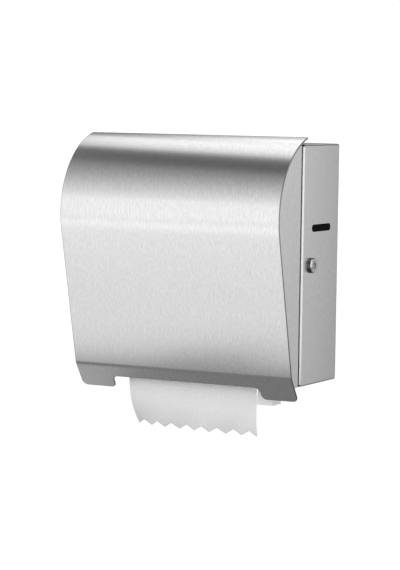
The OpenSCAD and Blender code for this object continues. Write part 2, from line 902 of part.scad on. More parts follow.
module drive_housing() {
    out = plate_out + housing_w;
    color(white_plastic) difference() {
        union() {
            xplate(plate_out, out) housing_outline(0);
            xplate(nose_x, plate_out + cut) intersection() {
                housing_outline(0);
                translate([nose_front, nose_low]) square([nose_back - nose_front, nose_down - end_gap]);
            }
            for (a = ear_angles) xbar(plate_out, plate_out + ear_t, ear_c(a), ear_r);
        }
        xplate(plate_out - cut, cavity_x) housing_outline(housing_t);
        for (a = ear_angles) xbar(plate_out - cut, plate_out + ear_t + cut, ear_c(a), ear_screw_r);
        for (a = ear_angles) xbar(plate_out + ear_t, out + cut, ear_c(a), ear_r);
        xbar(cavity_x - cut, out + cut, anchor_c, anchor_r);
    }
}

module housing_screws() {
    head_x = plate_out + ear_t;
    color(dark_steel) for (a = ear_angles) {
        xbar(plate_x, head_x, ear_c(a), ear_screw_r);
        xbar(head_x, head_x + screw_head_t, ear_c(a), 2 * ear_screw_r);
    }
}

module spring_anchor() {
    color(dark_steel) xbar(turn_x + crank_t, plate_out + housing_w, anchor_c, anchor_r);
}

// Extension spring from the crank pin to the anchor in the housing's nose
return_path = let (
    clear = spring_wire / 2,
    a = crank_c + (crank_pin_r + clear) * anchor_dir,
    b = anchor_c - (anchor_r + clear) * anchor_dir
) coil([spring_x, a.x, a.y], [spring_x, b.x, b.y], spring_r, spring_curls, 2 * spring_wire);

module return_spring() {
    color(dark_steel) wire(return_path, spring_wire / 2);
}

module crank_disc() {
    color(grey_plastic) difference() {
        xbar(turn_x, turn_x + crank_t, drum_c, crank_r);
        xbar(turn_x - cut, turn_x + crank_t + cut, drum_c, axle_r);
    }
}

module crank_pin() {
    x0 = turn_x + crank_t;
    color(dark_steel) xbar(x0, x0 + crank_pin_len, crank_c, crank_pin_r);
}

// Drum

// The knife's way out of the drum, cut from the shell and the bands
module knife_way() {
    at_knife() box([-cap_x, 0, -knife_slot / 2], [cap_x, 2 * drum_r, knife_slot / 2]);
}

module drum_shell() {
    color(white_plastic) difference() {
        xbar(-drum_x, drum_x, drum_c, shell_r);
        xbar(-drum_x - cut, drum_x + cut, drum_c, shell_r - drum_wall);
        knife_way();
    }
}

module drum_cap() {
    difference() {
        xbar(cap_x, drum_x, drum_c, shell_r - drum_wall);
        xbar(cap_x - cut, drum_x + cut, drum_c, axle_r);
        at_knife() box([cap_x - cut, axle_r + holder_t / 2, -holder_t / 2 - slide_gap],
            [cap_x + tenon_len + slide_gap, 2 * drum_r, holder_t / 2 + slide_gap]);
    }
}

module drum_cap_left() {
    color(grey_plastic) mirror([1, 0, 0]) drum_cap();
}

module drum_cap_right() {
    color(grey_plastic) drum_cap();
}

module drum_axle() {
    color(dark_steel) xbar(-knob_x - knob_w, turn_x + crank_t, drum_c, axle_r);
}

module grip_bands() {
    pitch = (towel_w - 2 * band_w) / (bands - 1);
    color(rubber) for (i = [0 : bands - 1]) difference() {
        x = band_w - towel_w / 2 + i * pitch;
        xbar(x - band_w / 2, x + band_w / 2, drum_c, drum_r);
        xbar(x - band_w, x + band_w, drum_c, shell_r + run_gap);
        knife_way();
    }
}

module feed_knob() {
    x0 = -knob_x - knob_w;
    color(grey_plastic) difference() {
        xbar(x0, -knob_x, drum_c, knob_r);
        xbar(x0 - cut, cut - knob_x, drum_c, axle_r);
        for (i = [1 : knob_grips])
            xbar(x0 - cut, cut - knob_x, polar(drum_c, knob_r, i * 360 / knob_grips), knob_grip_r);
    }
}

module ratchet_wheel() {
    step = 360 / ratchet_teeth;
    color(grey_plastic) xplate(-turn_x - ratchet_w, -turn_x) translate(drum_c) difference() {
        polygon([
            for (i = [0 : ratchet_teeth - 1])
                each [polar([0, 0], ratchet_r, i * step),
                    polar([0, 0], ratchet_r - tooth_depth, i * step + tooth_lead)]
        ]);
        circle(axle_r);
    }
}

module pawl() {
    tip = polar(drum_c, ratchet_r + pawl_tip_gap, pawl_tip_a);
    color(grey_plastic) xplate(-turn_x - pawl_w, -turn_x) difference() {
        union() {
            translate(pawl_c) circle(pawl_r);
            polygon([pawl_c + [0, pawl_r], tip, pawl_c - [0, pawl_r]]);
        }
        translate(pawl_c) circle(pawl_pin_r + run_gap);
    }
}

module pawl_pin() {
    color(dark_steel) {
        xbar(-turn_x - ratchet_w, -plate_x, pawl_c, pawl_pin_r);
        xbar(-turn_x, -plate_out, pawl_c, pawl_r);
    }
}

// Knife

module knife_holder() {
    color(grey_plastic) at_knife() {
        box([-blade_x, holder_r, -holder_t / 2], [blade_x, holder_r + holder_w, holder_t / 2]);
        box([-cap_x - tenon_len, holder_r, -holder_t / 2],
            [cap_x + tenon_len, holder_r + tenon_w, holder_t / 2]);
    }
}

module knife_blade() {
    tip = shell_r - blade_in;
    root = tip - tooth_h;
    pitch = 2 * blade_x / teeth;
    color(steel) at_knife() translate([0, 0, holder_t / 2]) linear_extrude(blade_t) polygon(concat(
        [[blade_x, root - blade_w], [-blade_x, root - blade_w]],
        [for (i = [0 : teeth - 1], e = [[0, root], [0.5, tip]]) [(i + e[0]) * pitch - blade_x, e[1]]],
        [[blade_x, root]]
    ));
}

// Pinch roller

module pinch_sleeve() {
    color(rubber) difference() {
        xbar(-pinch_len, pinch_len, pinch_c, pinch_r);
        xbar(-pinch_len - cut, pinch_len + cut, pinch_c, pinch_axle_r);
    }
}

module pinch_axle() {
    color(dark_steel) xbar(-plate_out - block_t, plate_out + block_t, pinch_c, pinch_axle_r);
}

// Sliding blocks that carry the ends of the pinch roller's axle
module pinch_blocks() {
    half = [block_w / 2, block_l / 2];
    color(grey_plastic) for (m = [0, 1]) mirror([m, 0, 0]) difference() {
        at_pinch() box([plate_x, -half.x, -half.y], [plate_out + block_t, half.x, half.y]);
        xbar(plate_x - cut, plate_out + block_t + cut, pinch_c, pinch_axle_r + run_gap);
    }
}

pinch_path = let (
    x = plate_out + slide_gap + pinch_spring_r + pinch_wire / 2,
    z0 = block_l / 2 + pinch_wire / 2
) coil([x, 0, z0], [x, 0, z0 + pinch_spring_l - pinch_wire], pinch_spring_r, pinch_curls, pinch_wire);

module pinch_springs() {
    color(dark_steel) for (m = [0, 1]) mirror([m, 0, 0]) at_pinch() wire(pinch_path, pinch_wire / 2);
}

// Roll

module towel_roll() {
    color(paper) difference() {
        xbar(-towel_w / 2, towel_w / 2, roll_c, roll_r);
        xbar(-towel_w, towel_w, roll_c, core_r + core_t);
    }
}

module roll_core() {
    color(card) difference() {
        xbar(-towel_w / 2, towel_w / 2, roll_c, core_r + core_t);
        xbar(-towel_w, towel_w, roll_c, core_r);
    }
}

module hub() {
    xbar(hub_x, arm_x, roll_c, hub_r);
    xcone(hub_x - nose_len, hub_x, roll_c, nose_base_r - nose_taper * nose_len, nose_base_r);
}

module hub_left() {
    color(grey_plastic) mirror([1, 0, 0]) hub();
}

module hub_right() {
    color(grey_plastic) hub();
}

// Outline of an arm from its root at y0 to the hub
module arm_outline(y0) {
    translate(roll_c) circle(arm_r);
    polygon([
        [y0, roll_c.y - arm_h / 2], [y0, roll_c.y + arm_h / 2],
        [roll_c.x, roll_c.y + arm_r], [roll_c.x, roll_c.y - arm_r]
    ]);
}

module roll_arm_left() {
    color(white_plastic) {
        xplate(-arm_x - arm_t, -arm_x) arm_outline(-body_t);
        foot(-arm_x - arm_t - foot_w, -arm_x, roll_c.y, arm_foot_h);
    }
}

// Lower and upper faces of the bracket's ears
arm_z0 = roll_c.y - arm_h / 2 - arm_gap;
arm_z1 = roll_c.y + arm_h / 2 + arm_gap;
arm_axis = [arm_pin_x, arm_pin_y];

module arm_bracket() {
    ears = [[arm_z0 - ear_h, arm_z0], [arm_z1, arm_z1 + ear_h]];
    color(white_plastic) {
        foot(arm_x + arm_t / 2, arm_x + arm_t + foot_w, roll_c.y, arm_h + 2 * arm_gap + 2 * ear_h);
        for (e = ears) difference() {
            union() {
                zbar(e[0], e[1], arm_axis, arm_knuckle_r);
                box([arm_pin_x - arm_knuckle_r, arm_pin_y, e[0]],
                    [arm_pin_x + arm_knuckle_r, -body_t - foot_t, e[1]]);
            }
            zbar(e[0] - cut, e[1] + cut, arm_axis, arm_pin_r);
        }
    }
}

module arm_pivot_pin() {
    color(dark_steel) {
        zbar(arm_z0 - ear_h, arm_z1 + ear_h, arm_axis, arm_pin_r);
        zbar(arm_z1 + ear_h, arm_z1 + ear_h + screw_head_t, arm_axis, 2 * arm_pin_r);
    }
}

module roll_arm_right() {
    z0 = arm_z0 + arm_gap;
    z1 = arm_z1 - arm_gap;
    color(white_plastic) difference() {
        union() {
            xplate(arm_x, arm_x + arm_t) arm_outline(arm_pin_y);
            zbar(z0 + arm_spring_h, z1, arm_axis, arm_knuckle_r);
        }
        zbar(z0 - cut, z1 + cut, arm_axis, arm_pin_r + run_gap);
    }
}

module arm_spring() {
    color(dark_steel) wire(arm_spring_path(), arm_wire / 2);
}

// Torsion spring round the pivot pin, with one leg along the back and one along the arm
function arm_spring_path() = let (
    steps = arm_curls * rings_per_turn,
    z0 = arm_z0 + arm_gap + arm_wire,
    run = arm_spring_h - 2 * arm_gap - 2 * arm_wire,
    leg = 2 * arm_knuckle_r
) concat(
    [[arm_pin_x + leg, arm_pin_y + arm_spring_r, z0]],
    [
        for (i = [0 : steps])
            let (s = 90 + 360 * i / rings_per_turn)
                [arm_pin_x + arm_spring_r * cos(s), arm_pin_y + arm_spring_r * sin(s), z0 + run * i / steps]
    ],
    [[arm_pin_x - arm_wire, arm_pin_y + arm_spring_r, z0 + run]]
);

// Towel

// The towel leaves the roll, passes under the pinch roller and over the drum, and hangs in the outlet.
// One side of it is drawn at lay = 0, nearest the pinch roller, and the other at lay = 1.
web_steps = 14;
function web_side(lay) = let (
    ra = roll_r + web_gap + lay * paper_t,
    rb = pinch_r + web_gap + lay * paper_t,
    hang = drum_r + web_gap + (1 - lay) * paper_t
) concat(
    [polar(roll_c, ra, pull_a)],
    [for (i = [0 : web_steps]) polar(pinch_c, rb, pull_a + (nip_a - 180 - pull_a) * i / web_steps)],
    [for (i = [1 : web_steps]) polar(drum_c, hang, nip_a + (180 - nip_a) * i / web_steps)],
    [[drum_c.x - hang, -body_h / 2]]
);
module towel_web() {
    back = web_side(1);
    color(paper) xplate(-towel_w / 2, towel_w / 2)
        polygon(concat(web_side(0), [for (i = [len(back) - 1 : -1 : 0]) back[i]]));
}

// The hanging end: its lower left corner curls back and its edge is cut in teeth
tail_rows = 9;
tail_cols = 2 * teeth;
curl_from = 0.35;
function curl(u, v) = curl_back * pow(v, 2) * pow(max(0, curl_from - u) / (1 + curl_from), 2);
function tail_point(i, j, side) = let (
    u = 2 * i / tail_cols - 1,
    v = j / tail_rows,
    edge = (i % 2 == 0) ? tail_len : tail_len - tooth_h,
    flat_y = towel_y + side * paper_t / 2
) [u * towel_w / 2, flat_y + curl(u, v), -body_h / 2 - v * edge];

module towel_tail() {
    cols = tail_cols + 1;
    count = cols * (tail_rows + 1);
    points = [for (side = [-1, 1], j = [0 : tail_rows], i = [0 : tail_cols]) tail_point(i, j, side)];
    front = [
        for (j = [0 : tail_rows - 1], i = [0 : tail_cols - 1])
            let (a = j * cols + i, b = a + cols) each [[a, a + 1, b + 1], [a, b + 1, b]]
    ];
    back = [for (f = front) [f[2] + count, f[1] + count, f[0] + count]];
    rim = concat(
        [for (i = [0 : tail_cols - 1]) i],
        [for (j = [0 : tail_rows - 1]) j * cols + tail_cols],
        [for (i = [tail_cols : -1 : 1]) tail_rows * cols + i],
        [for (j = [tail_rows : -1 : 1]) j * cols]
    );
    edges = [
        for (k = [0 : len(rim) - 1])
            let (a = rim[k], b = rim[(k + 1) % len(rim)]) each [[b, a, a + count], [b, a + count, b + count]]
    ];
    color(paper) polyhedron(points, concat(front, back, edges));
}

echo(least_gap_return_spring = wire_gap(return_path, spring_wire));
echo(least_gap_pinch_spring = wire_gap(pinch_path, pinch_wire));
echo(least_gap_arm_spring = wire_gap(arm_spring_path(), arm_wire));

body_shell();
window_lens();
lock_housing();
lock_nut();
hinge_body_leaves();
hinge_pins();
frame_plate_left();
frame_plate_right();
tie_rods();
rear_guide();
exit_guide();
exit_chute();
frame_screws();
drive_housing();
housing_screws();
spring_anchor();
return_spring();
drum_bearing_left();
drum_bearing_right();
roll_arm_left();
hub_left();
arm_bracket();
arm_pivot_pin();
arm_spring();
pawl_pin();
pinch_springs();
towel_web();
towel_tail();
cover_skin();
cover_cheek_left();
cover_cheek_right();
cover_rail();
lock_strike();
hinge_cover_leaves();
cover_rivets();
lock_plug();
lock_cam();
lock_cam_screw();
drum_shell();
drum_cap_left();
drum_cap_right();
drum_axle();
grip_bands();
crank_disc();
crank_pin();
feed_knob();
ratchet_wheel();
knife_holder();
knife_blade();
pinch_blocks();
pinch_sleeve();
pinch_axle();
towel_roll();
roll_core();
roll_arm_right();
hub_right();
pawl();
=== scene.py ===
# %% [markdown]
# # Dressing a wall-hung towel dispenser in brushed steel
# The CAD model gives every part its true size and its joints. This lesson leaves those solids where
# they are and gives them the looks: folded sheet metal, a lock, a smoked window and the paper towel.
# Each step says what the real piece is, how it could be made in Blender, and why it is made this way.

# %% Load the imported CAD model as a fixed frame
import json
from math import acos, atan2, cos, degrees, pi, radians, sin, tan

import bmesh
import bpy
from mathutils import Matrix, Vector


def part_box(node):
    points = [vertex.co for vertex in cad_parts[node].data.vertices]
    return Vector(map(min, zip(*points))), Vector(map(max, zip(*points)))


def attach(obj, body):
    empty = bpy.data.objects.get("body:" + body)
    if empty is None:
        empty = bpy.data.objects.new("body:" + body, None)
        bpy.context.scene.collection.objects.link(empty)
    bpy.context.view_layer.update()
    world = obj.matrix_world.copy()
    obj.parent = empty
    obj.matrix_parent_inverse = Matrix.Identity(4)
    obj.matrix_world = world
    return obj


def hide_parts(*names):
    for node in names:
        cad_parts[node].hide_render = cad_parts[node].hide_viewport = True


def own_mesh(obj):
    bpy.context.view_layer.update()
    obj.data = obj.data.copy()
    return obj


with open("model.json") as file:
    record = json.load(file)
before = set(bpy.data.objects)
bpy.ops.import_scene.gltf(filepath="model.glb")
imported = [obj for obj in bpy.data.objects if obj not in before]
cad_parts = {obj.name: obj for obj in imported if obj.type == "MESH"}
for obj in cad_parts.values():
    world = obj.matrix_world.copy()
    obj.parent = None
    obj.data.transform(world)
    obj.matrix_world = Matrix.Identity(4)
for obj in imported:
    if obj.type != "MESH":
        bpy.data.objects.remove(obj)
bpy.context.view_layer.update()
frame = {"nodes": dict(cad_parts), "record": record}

MM = 0.001
scene = bpy.context.scene
nodes = frame["nodes"]

# %% [markdown]
# ## The camera
# The photograph was taken from the right and a little above, from far away, so its verticals hardly
# lean. A long lens at three and a half metres gives the same calm perspective. The picture is also
# turned by less than a degree, so the camera is too.

# %% Camera
CAMERA_AT = Vector((1.59921, -3.01010, 0.23987))
AZIMUTH, ELEVATION, ROLL = radians(28.728), radians(4.75), radians(0.8245)
FOCAL_PIXELS, LONG_SIDE_PIXELS, SENSOR = 2315, 570, 36

right = Vector((cos(AZIMUTH), sin(AZIMUTH), 0))
back = Vector((sin(AZIMUTH) * cos(ELEVATION), -cos(AZIMUTH) * cos(ELEVATION), sin(ELEVATION)))
turn = Matrix((right, back.cross(right), back)).transposed() @ Matrix.Rotation(ROLL, 3, "Z")

camera = bpy.data.objects.new("camera", bpy.data.cameras.new("camera"))
camera.data.sensor_width = SENSOR
camera.data.lens = SENSOR * FOCAL_PIXELS / LONG_SIDE_PIXELS
camera.matrix_world = Matrix.Translation(CAMERA_AT) @ turn.to_4x4()
scene.collection.objects.link(camera)
scene.camera = camera
print("camera lens", round(camera.data.lens, 1), "mm")

# %% [markdown]
# ## Helpers for node trees and colours
# Every material and every reflection card is a small node tree. One function adds a node, sets its
# properties and fills its sockets with a value or a link, so that a tree reads like a recipe.
# Colours are written as the hex values a paint program shows, and one function makes them linear.

# %% Node and colour helpers
def linear(hex_colour):
    """An sRGB hex colour as a linear colour with full alpha."""
    parts = [int(hex_colour[i:i + 2], 16) / 255 for i in (1, 3, 5)]
    return [c / 12.92 if c <= 0.04045 else ((c + 0.055) / 1.055) ** 2.4 for c in parts] + [1]


def add(tree, kind, inputs=(), stops=(), **settings):
    """Adds a node: settings are its properties, inputs its sockets, stops the points of a ramp.

    The kind of a shader node is written without the ShaderNode that its type starts with."""
    node = tree.nodes.new(kind if "Node" in kind else "ShaderNode" + kind)
    for name, value in settings.items():
        setattr(node, name, value)
    for key, value in dict(inputs).items():
        if isinstance(value, bpy.types.Node):
            value = value.outputs[0]
        if isinstance(value, bpy.types.NodeSocket):
            tree.links.new(value, node.inputs[key])
        else:
            node.inputs[key].default_value = value
    for i, (position, colour) in enumerate(stops):
        ramp = node.color_ramp.elements
        stop = ramp[i] if i < 2 else ramp.new(position)
        stop.position, stop.color = position, colour
    return node


def new_material(name):
    """An empty material, its node tree and the coordinates that its patterns read."""
    material = bpy.data.materials.new(name)
    material.use_nodes = True
    material.node_tree.nodes.clear()
    print("material", name)
    return material, material.node_tree, add(material.node_tree, "TexCoord").outputs


print("white is", linear("#FFFFFF"))

# %% [markdown]
# ## The studio
# The object hangs in a white studio, so the world is an even white. The pale floor lies 1.6 m below,
# because about that high such an object hangs on a wall. Its matt paint is faintly cloudy, as rolled
# paint is. A Mix node's sockets go by number: 0 is the factor, 4 and 5 are two vectors, 6 and 7 two
# colours, and the mixed colour comes out at 2.

# %% World, floor and colour handling
WHITE_LIGHT, FLOOR_BELOW, FLOOR_REACH = 1.12, 1.6, 14

scene.view_settings.view_transform = "Standard"
scene.world = bpy.data.worlds.new("white_studio")
scene.world.use_nodes = True
air = scene.world.node_tree
air.nodes.clear()
glow = add(air, "Background", {"Color": linear("#FFFFFF"), "Strength": WHITE_LIGHT})
add(air, "OutputWorld", {"Surface": glow})

floor_paint, tree, place = new_material("pale_floor_paint")
cloudy = add(tree, "TexNoise", {"Vector": place["Object"], "Scale": 2.0, "Detail": 2.0})
tone = add(tree, "Mix", {0: cloudy, 6: linear("#F4F4F3"), 7: linear("#F8F8F8")}, data_type="RGBA")
paint = add(tree, "BsdfPrincipled", {"Base Color": tone.outputs[2], "Roughness": 0.9})
add(tree, "OutputMaterial", {"Surface": paint})


def new_piece(name, mesh, *materials):
    """An object at the origin that shows this mesh."""
    piece = bpy.data.objects.new(name, mesh)
    scene.collection.objects.link(piece)
    for material in materials:
        mesh.materials.append(material)
    return piece


def at_level(axis, level, a, b):
    """A point whose x, y or z is a level, with a and b as its other two coordinates in turn."""
    point = [a, b]
    point.insert("xyz".index(axis), level)
    return Vector(point)


def studio_card(name, material, axis, level, low, high, slant=0):
    """A flat piece of the studio that faces along an axis at a level, sheared by a slant."""
    (a, b), (c, d) = low, high
    corners = [at_level(axis, level, p, q - slant * p) for p, q in ((a, b), (c, b), (c, d), (a, d))]
    mesh = bpy.data.meshes.new(name)
    mesh.from_pydata(corners, [], [(0, 1, 2, 3)])
    card = new_piece(name, mesh, material)
    return card


studio_card("floor", floor_paint, "z", -FLOOR_BELOW, [-FLOOR_REACH] * 2, [FLOOR_REACH] * 2)
print("floor", FLOOR_BELOW, "m below the middle of the object")

# %% [markdown]
# ## Reflection cards
# Brushed metal shows nothing but its surroundings, and a photographer shapes it with grey and white
# cards. Lamps could do that too, but they would light the paper as well. So each card is a plane with
# a graded glow that only reflections see: it throws no shadow and stays out of the picture.

# %% Card overhead
def reflection_card(name, along, stops, place, fade=((-1, 1), (1, 1))):
    """A card whose glow follows stops, pairs of (metres along a direction, radiance), and fades in height."""
    material, tree, spot = new_material(name + "_glow")
    glow = 1.0
    for direction, steps in ((along, stops), ((0, 0, 1), fade)):
        first, last = steps[0][0], steps[-1][0]
        brightest = max(radiance for _, radiance in steps)
        reach = add(tree, "VectorMath", {0: spot["Object"], 1: direction}, operation="DOT_PRODUCT")
        share = add(tree, "MapRange", {"Value": reach.outputs["Value"], "From Min": first, "From Max": last})
        shades = [((s - first) / (last - first), [r / brightest] * 3 + [1]) for s, r in steps]
        ramp = add(tree, "ValToRGB", {0: share}, stops=shades[:1] + shades[-1:] + shades[1:-1])
        level = add(tree, "Math", {0: ramp, 1: brightest}, operation="MULTIPLY")
        glow = add(tree, "Math", {0: glow, 1: level}, operation="MULTIPLY")
    light = add(tree, "Emission", {"Color": linear("#FFFFFF"), "Strength": glow})
    add(tree, "OutputMaterial", {"Surface": light})
    card = studio_card(name, material, *place)
    card.visible_camera = card.visible_diffuse = card.visible_shadow = False
    print(name, "glows from", stops[0][1], "to", stops[-1][1])
    return card


# The overhead bank runs across the object at a slant. Its dark edge gives the dark band on the bow,
# and towards the front it grows as bright as the air round it, so that its own end can't be seen.
BANK_Z, BANK_SLANT = 0.9, 0.46
BANK_STOPS = [
    (-3.0, 1.05), (-2.6, 0.94), (-2.1, 0.86), (-1.875, 0.79), (-1.625, 0.72), (-1.375, 0.62),
    (-1.125, 0.5), (-0.975, 0.42), (-0.875, 0.36), (-0.775, 0.3), (-0.7, 0.235), (-0.63, 0.17),
    (-0.57, 0.12), (-0.5, 0.115), (-0.4, 0.12), (-0.34, 0.145), (-0.3, 0.24), (-0.25, 0.42),
    (-0.21, 0.72), (-0.17, 0.92), (-0.12, 1.02), (-0.05, 1.14), (0.05, 1.26), (0.2, 1.34)]
reflection_card("overhead_bank", (BANK_SLANT, 1, 0), BANK_STOPS,
                ("z", BANK_Z, (-3, -3), (2, 0.2), BANK_SLANT))

# %% Card behind
# The rear card is dark and stands behind. Only faces that look almost straight up see it: the end of
# the bow, the top of the body and the hem, which it outlines against the white air.
REAR_Y, REAR_SLANT = 1.0, 0.383
REAR_STOPS = [(-2.2, 0.14), (-0.7, 0.14), (-0.534, 0.17), (-0.433, 0.3), (-0.332, 0.5), (-0.24, 0.72),
              (-0.1, 0.85), (1.3, 0.9)]
REAR_FADE = [(-0.3, 0.38), (0.4, 0.39), (0.75, 0.6), (0.93, 0.75), (1.11, 0.75), (1.2, 0.8), (1.277, 1.0),
             (1.44, 1.8), (1.6, 2.8), (1.7, 3.0)]
reflection_card("rear_card", (1, 0, REAR_SLANT), REAR_STOPS,
                ("y", REAR_Y, (-2, -0.3), (0.6, 1.7)), REAR_FADE)

# %% Cards below
# The low front card darkens what the lower front looks down on.
LOW_Z, LOW_SLANT = -0.26, 0.07
LOW_STOPS = [(-1.6, 1.2), (-1.1, 1.15), (-0.85, 1.04), (-0.676, 0.96), (-0.625, 0.92), (-0.56, 0.91),
             (-0.48, 0.9), (-0.42, 0.89), (-0.375, 0.86), (-0.345, 0.7), (-0.315, 0.38), (-0.295, 0.24),
             (-0.19, 0.2)]
reflection_card("low_front_card", (LOW_SLANT, 1, 0), LOW_STOPS, ("z", LOW_Z, (-2, -1.6), (1.2, -0.19)))

# The foot card is small, lies just above it and dulls the lower middle of the front.
FOOT_LIFT = 0.005
FOOT_STOPS = [(-0.41, 0.86), (-0.39, 0.74), (-0.36, 0.59), (-0.345, 0.5), (-0.325, 0.36), (-0.31, 0.31)]
reflection_card("foot_card", (LOW_SLANT, 1, 0), FOOT_STOPS,
                ("z", LOW_Z + FOOT_LIFT, (-0.14, -0.41), (0.03, -0.31)))

# The lip card goes on from there to the wall and darkens the lip.
LIP_STOPS = [(-0.3, 0.46), (-0.2, 0.43), (-0.17, 0.4), (-0.14, 0.27), (0, 0.225), (0.3, 0.2)]
reflection_card("lip_card", (1, 0, 0), LIP_STOPS, ("z", LOW_Z, (-0.9, -0.19), (0.9, 0.15)))

# %% Cards at the sides
# The side card stands behind on the right and shades the right flank from front to rear.
SIDE_Y = 0.22
SIDE_STOPS = [(0.19, 0.24), (0.27, 0.335), (0.298, 0.41), (0.33, 0.51), (0.363, 0.66), (0.4, 0.69),
              (0.6, 0.75), (1.0, 0.9)]
SIDE_FADE = [(-0.8, 0.3), (-0.27, 0.35), (-0.235, 0.9), (0.14, 1.06), (0.21, 1.06), (0.245, 0.35), (0.8, 0.3)]
reflection_card("side_card", (1, 0, 0), SIDE_STOPS, ("y", SIDE_Y, (0.19, -0.8), (1.0, 0.8)), SIDE_FADE)

# The left card does the same for the left flank, and for the rounded left rim of the cover.
LEFT_X = -0.5
LEFT_STOPS = [(-0.35, 0.72), (0, 0.64), (0.13, 0.5), (0.4, 0.4), (0.6, 0.38), (1.0, 0.45)]
reflection_card("left_card", (0, 1, 0), LEFT_STOPS, ("x", LEFT_X, (-0.35, -0.7), (1.0, 0.35)))

# A dark card hangs higher up and further out, and shades the left end of the bow.
HIGH_X = -0.75
HIGH_STOPS = [(-0.35, 0.5), (-0.05, 0.4), (0.15, 0.06), (1.0, 0.05)]
reflection_card("high_left_card", (0, 1, 0), HIGH_STOPS, ("x", HIGH_X, (-0.35, 0.3), (1.0, 0.84)))

# A black flag under the towel takes away the light that the floor would throw up on its lower end.
FLAG_Z, FLAG_STOPS = -0.285, [(-0.3, 0.35), (0.2, 0.12)]
flag = reflection_card("black_flag", (1, 0, 0), FLAG_STOPS, ("z", FLAG_Z, (-0.3, -0.36), (0.2, 0.1)))
flag.visible_diffuse, flag.visible_glossy = True, False

# %% [markdown]
# ## A soft key light
# The white air lights everything evenly, so a sheet of paper would look flat. One large soft lamp to
# the left adds some direction. It is hidden from reflections, where the cards do the work.

# %% Key light
KEY_AT, KEY_SIZE, KEY_POWER = Vector((-1.2, -1.9, 0.2)), 1.0, 16
key = bpy.data.objects.new("key_light", bpy.data.lights.new("key_light", "AREA"))
key.data.shape, key.data.size, key.data.energy = "SQUARE", KEY_SIZE, KEY_POWER
key.location = KEY_AT
key.rotation_euler = (-KEY_AT).to_track_quat("-Z", "Y").to_euler()
key.visible_glossy = False
scene.collection.objects.link(key)
print("key light of", KEY_POWER, "W")

# %% [markdown]
# ## Brushed stainless steel
# Cover and body are cold-rolled stainless sheet that a belt of grit has brushed in one direction. The
# scratches run up and down, so a highlight is drawn out sideways and stays crisp up and down. That is
# anisotropy: its tangent lies across the grain, and it is found from the surface's own direction, so
# one material suits the front and the sides. A scratch is a tenth of a millimetre wide, too fine to
# show, so the streaks are drawn one millimetre wide and seven long.

# %% Brushed stainless steel
STREAK_W, STREAK_L = 1.0 * MM, 7 * MM
SCRATCH_W, SCRATCH_L, SCRATCH_DEPTH = 1.1 * MM, 90 * MM, 0.08 * MM
GRAIN_UP, SIDE_FROM = (0, 0.1, 1), 0.7

brushed_steel, tree, place = new_material("brushed_stainless_steel")
facing = add(tree, "SeparateXYZ", {0: place["Normal"]})
sideways = add(tree, "Math", {0: facing.outputs["X"]}, operation="ABSOLUTE")
on_side = add(tree, "Math", {0: sideways, 1: SIDE_FROM}, operation="GREATER_THAN")
lines = []
for wide, long in ((STREAK_W, STREAK_L), (SCRATCH_W, SCRATCH_L)):
    front = add(tree, "Mapping", {"Vector": place["Object"], "Scale": (1 / wide, 1 / long, 1 / long)})
    flank = add(tree, "Mapping", {"Vector": place["Object"], "Scale": (1 / long, 1 / wide, 1 / long)})
    grain = add(tree, "Mix", {0: on_side, 4: front, 5: flank}, data_type="VECTOR")
    lines.append(add(tree, "TexNoise", {
        "Vector": grain.outputs[1], "Scale": 1.0, "Detail": 1.0, "Roughness": 0.6}))
streaks, scratches = lines
streak = add(tree, "MapRange", {"Value": streaks, "From Min": 0.3, "From Max": 0.7})
shade = add(tree, "Mix", {0: streak, 6: linear("#DCDCDC"), 7: linear("#EBEBEB")}, data_type="RGBA")
polish = add(tree, "MapRange", {"Value": streak, "To Min": 0.25, "To Max": 0.27})
scratch = add(tree, "Bump", {"Height": scratches, "Strength": 0.02, "Distance": SCRATCH_DEPTH})
across = add(tree, "VectorMath", {0: place["Normal"], 1: GRAIN_UP}, operation="CROSS_PRODUCT")
tangent = add(tree, "VectorTransform", {
    0: add(tree, "VectorMath", {0: across}, operation="NORMALIZE")},
    vector_type="VECTOR", convert_from="OBJECT", convert_to="WORLD")
metal = add(tree, "BsdfPrincipled", {
    "Base Color": shade.outputs[2], "Metallic": 1.0, "Roughness": polish, "Anisotropic": 0.85,
    "Normal": scratch, "Tangent": tangent})
add(tree, "OutputMaterial", {"Surface": metal})

# %% [markdown]
# ## Finishing a mesh
# A piece may need modifiers on the way, such as Solidify for the thickness of a sheet and Bevel for
# its broken edges. Once they have done their work, the result is kept as a plain mesh with smooth
# shading, weighted so that the large flat faces stay flat and only the small bevels look round.

# %% Finishing helpers
def piece_of(form, name, *materials):
    """A piece that shows what was drawn in a bmesh, which is freed."""
    mesh = bpy.data.meshes.new(name)
    form.to_mesh(mesh)
    form.free()
    return new_piece(name, mesh, *materials)


def keep_result(piece):
    """Replaces a piece's mesh by what its modifiers make of it."""
    shown = piece.evaluated_get(bpy.context.evaluated_depsgraph_get())
    piece.data = bpy.data.meshes.new_from_object(shown)
    piece.data.name = piece.name
    piece.modifiers.clear()
    return piece


def finish_mesh(piece):
    """Keeps what the modifiers make of a piece, with weighted smooth shading."""
    piece.data.shade_smooth()
    weigh = piece.modifiers.new("flat_faces_first", "WEIGHTED_NORMAL")
    weigh.weight, weigh.keep_sharp = 100, True
    keep_result(piece)


def thicken(piece, thickness, offset=-1, even=True):
    """Gives a single skin the thickness of a sheet."""
    sheet = piece.modifiers.new("sheet_thickness", "SOLIDIFY")
    sheet.thickness, sheet.offset, sheet.use_even_offset = thickness, offset, even


def edge_bevel(piece, width, angle):
    """Breaks the edges of a piece that are sharper than an angle by a small width."""
    bevel = piece.modifiers.new("broken_edges", "BEVEL")
    bevel.width, bevel.segments = width, 2
    bevel.limit_method, bevel.angle_limit = "ANGLE", radians(angle)


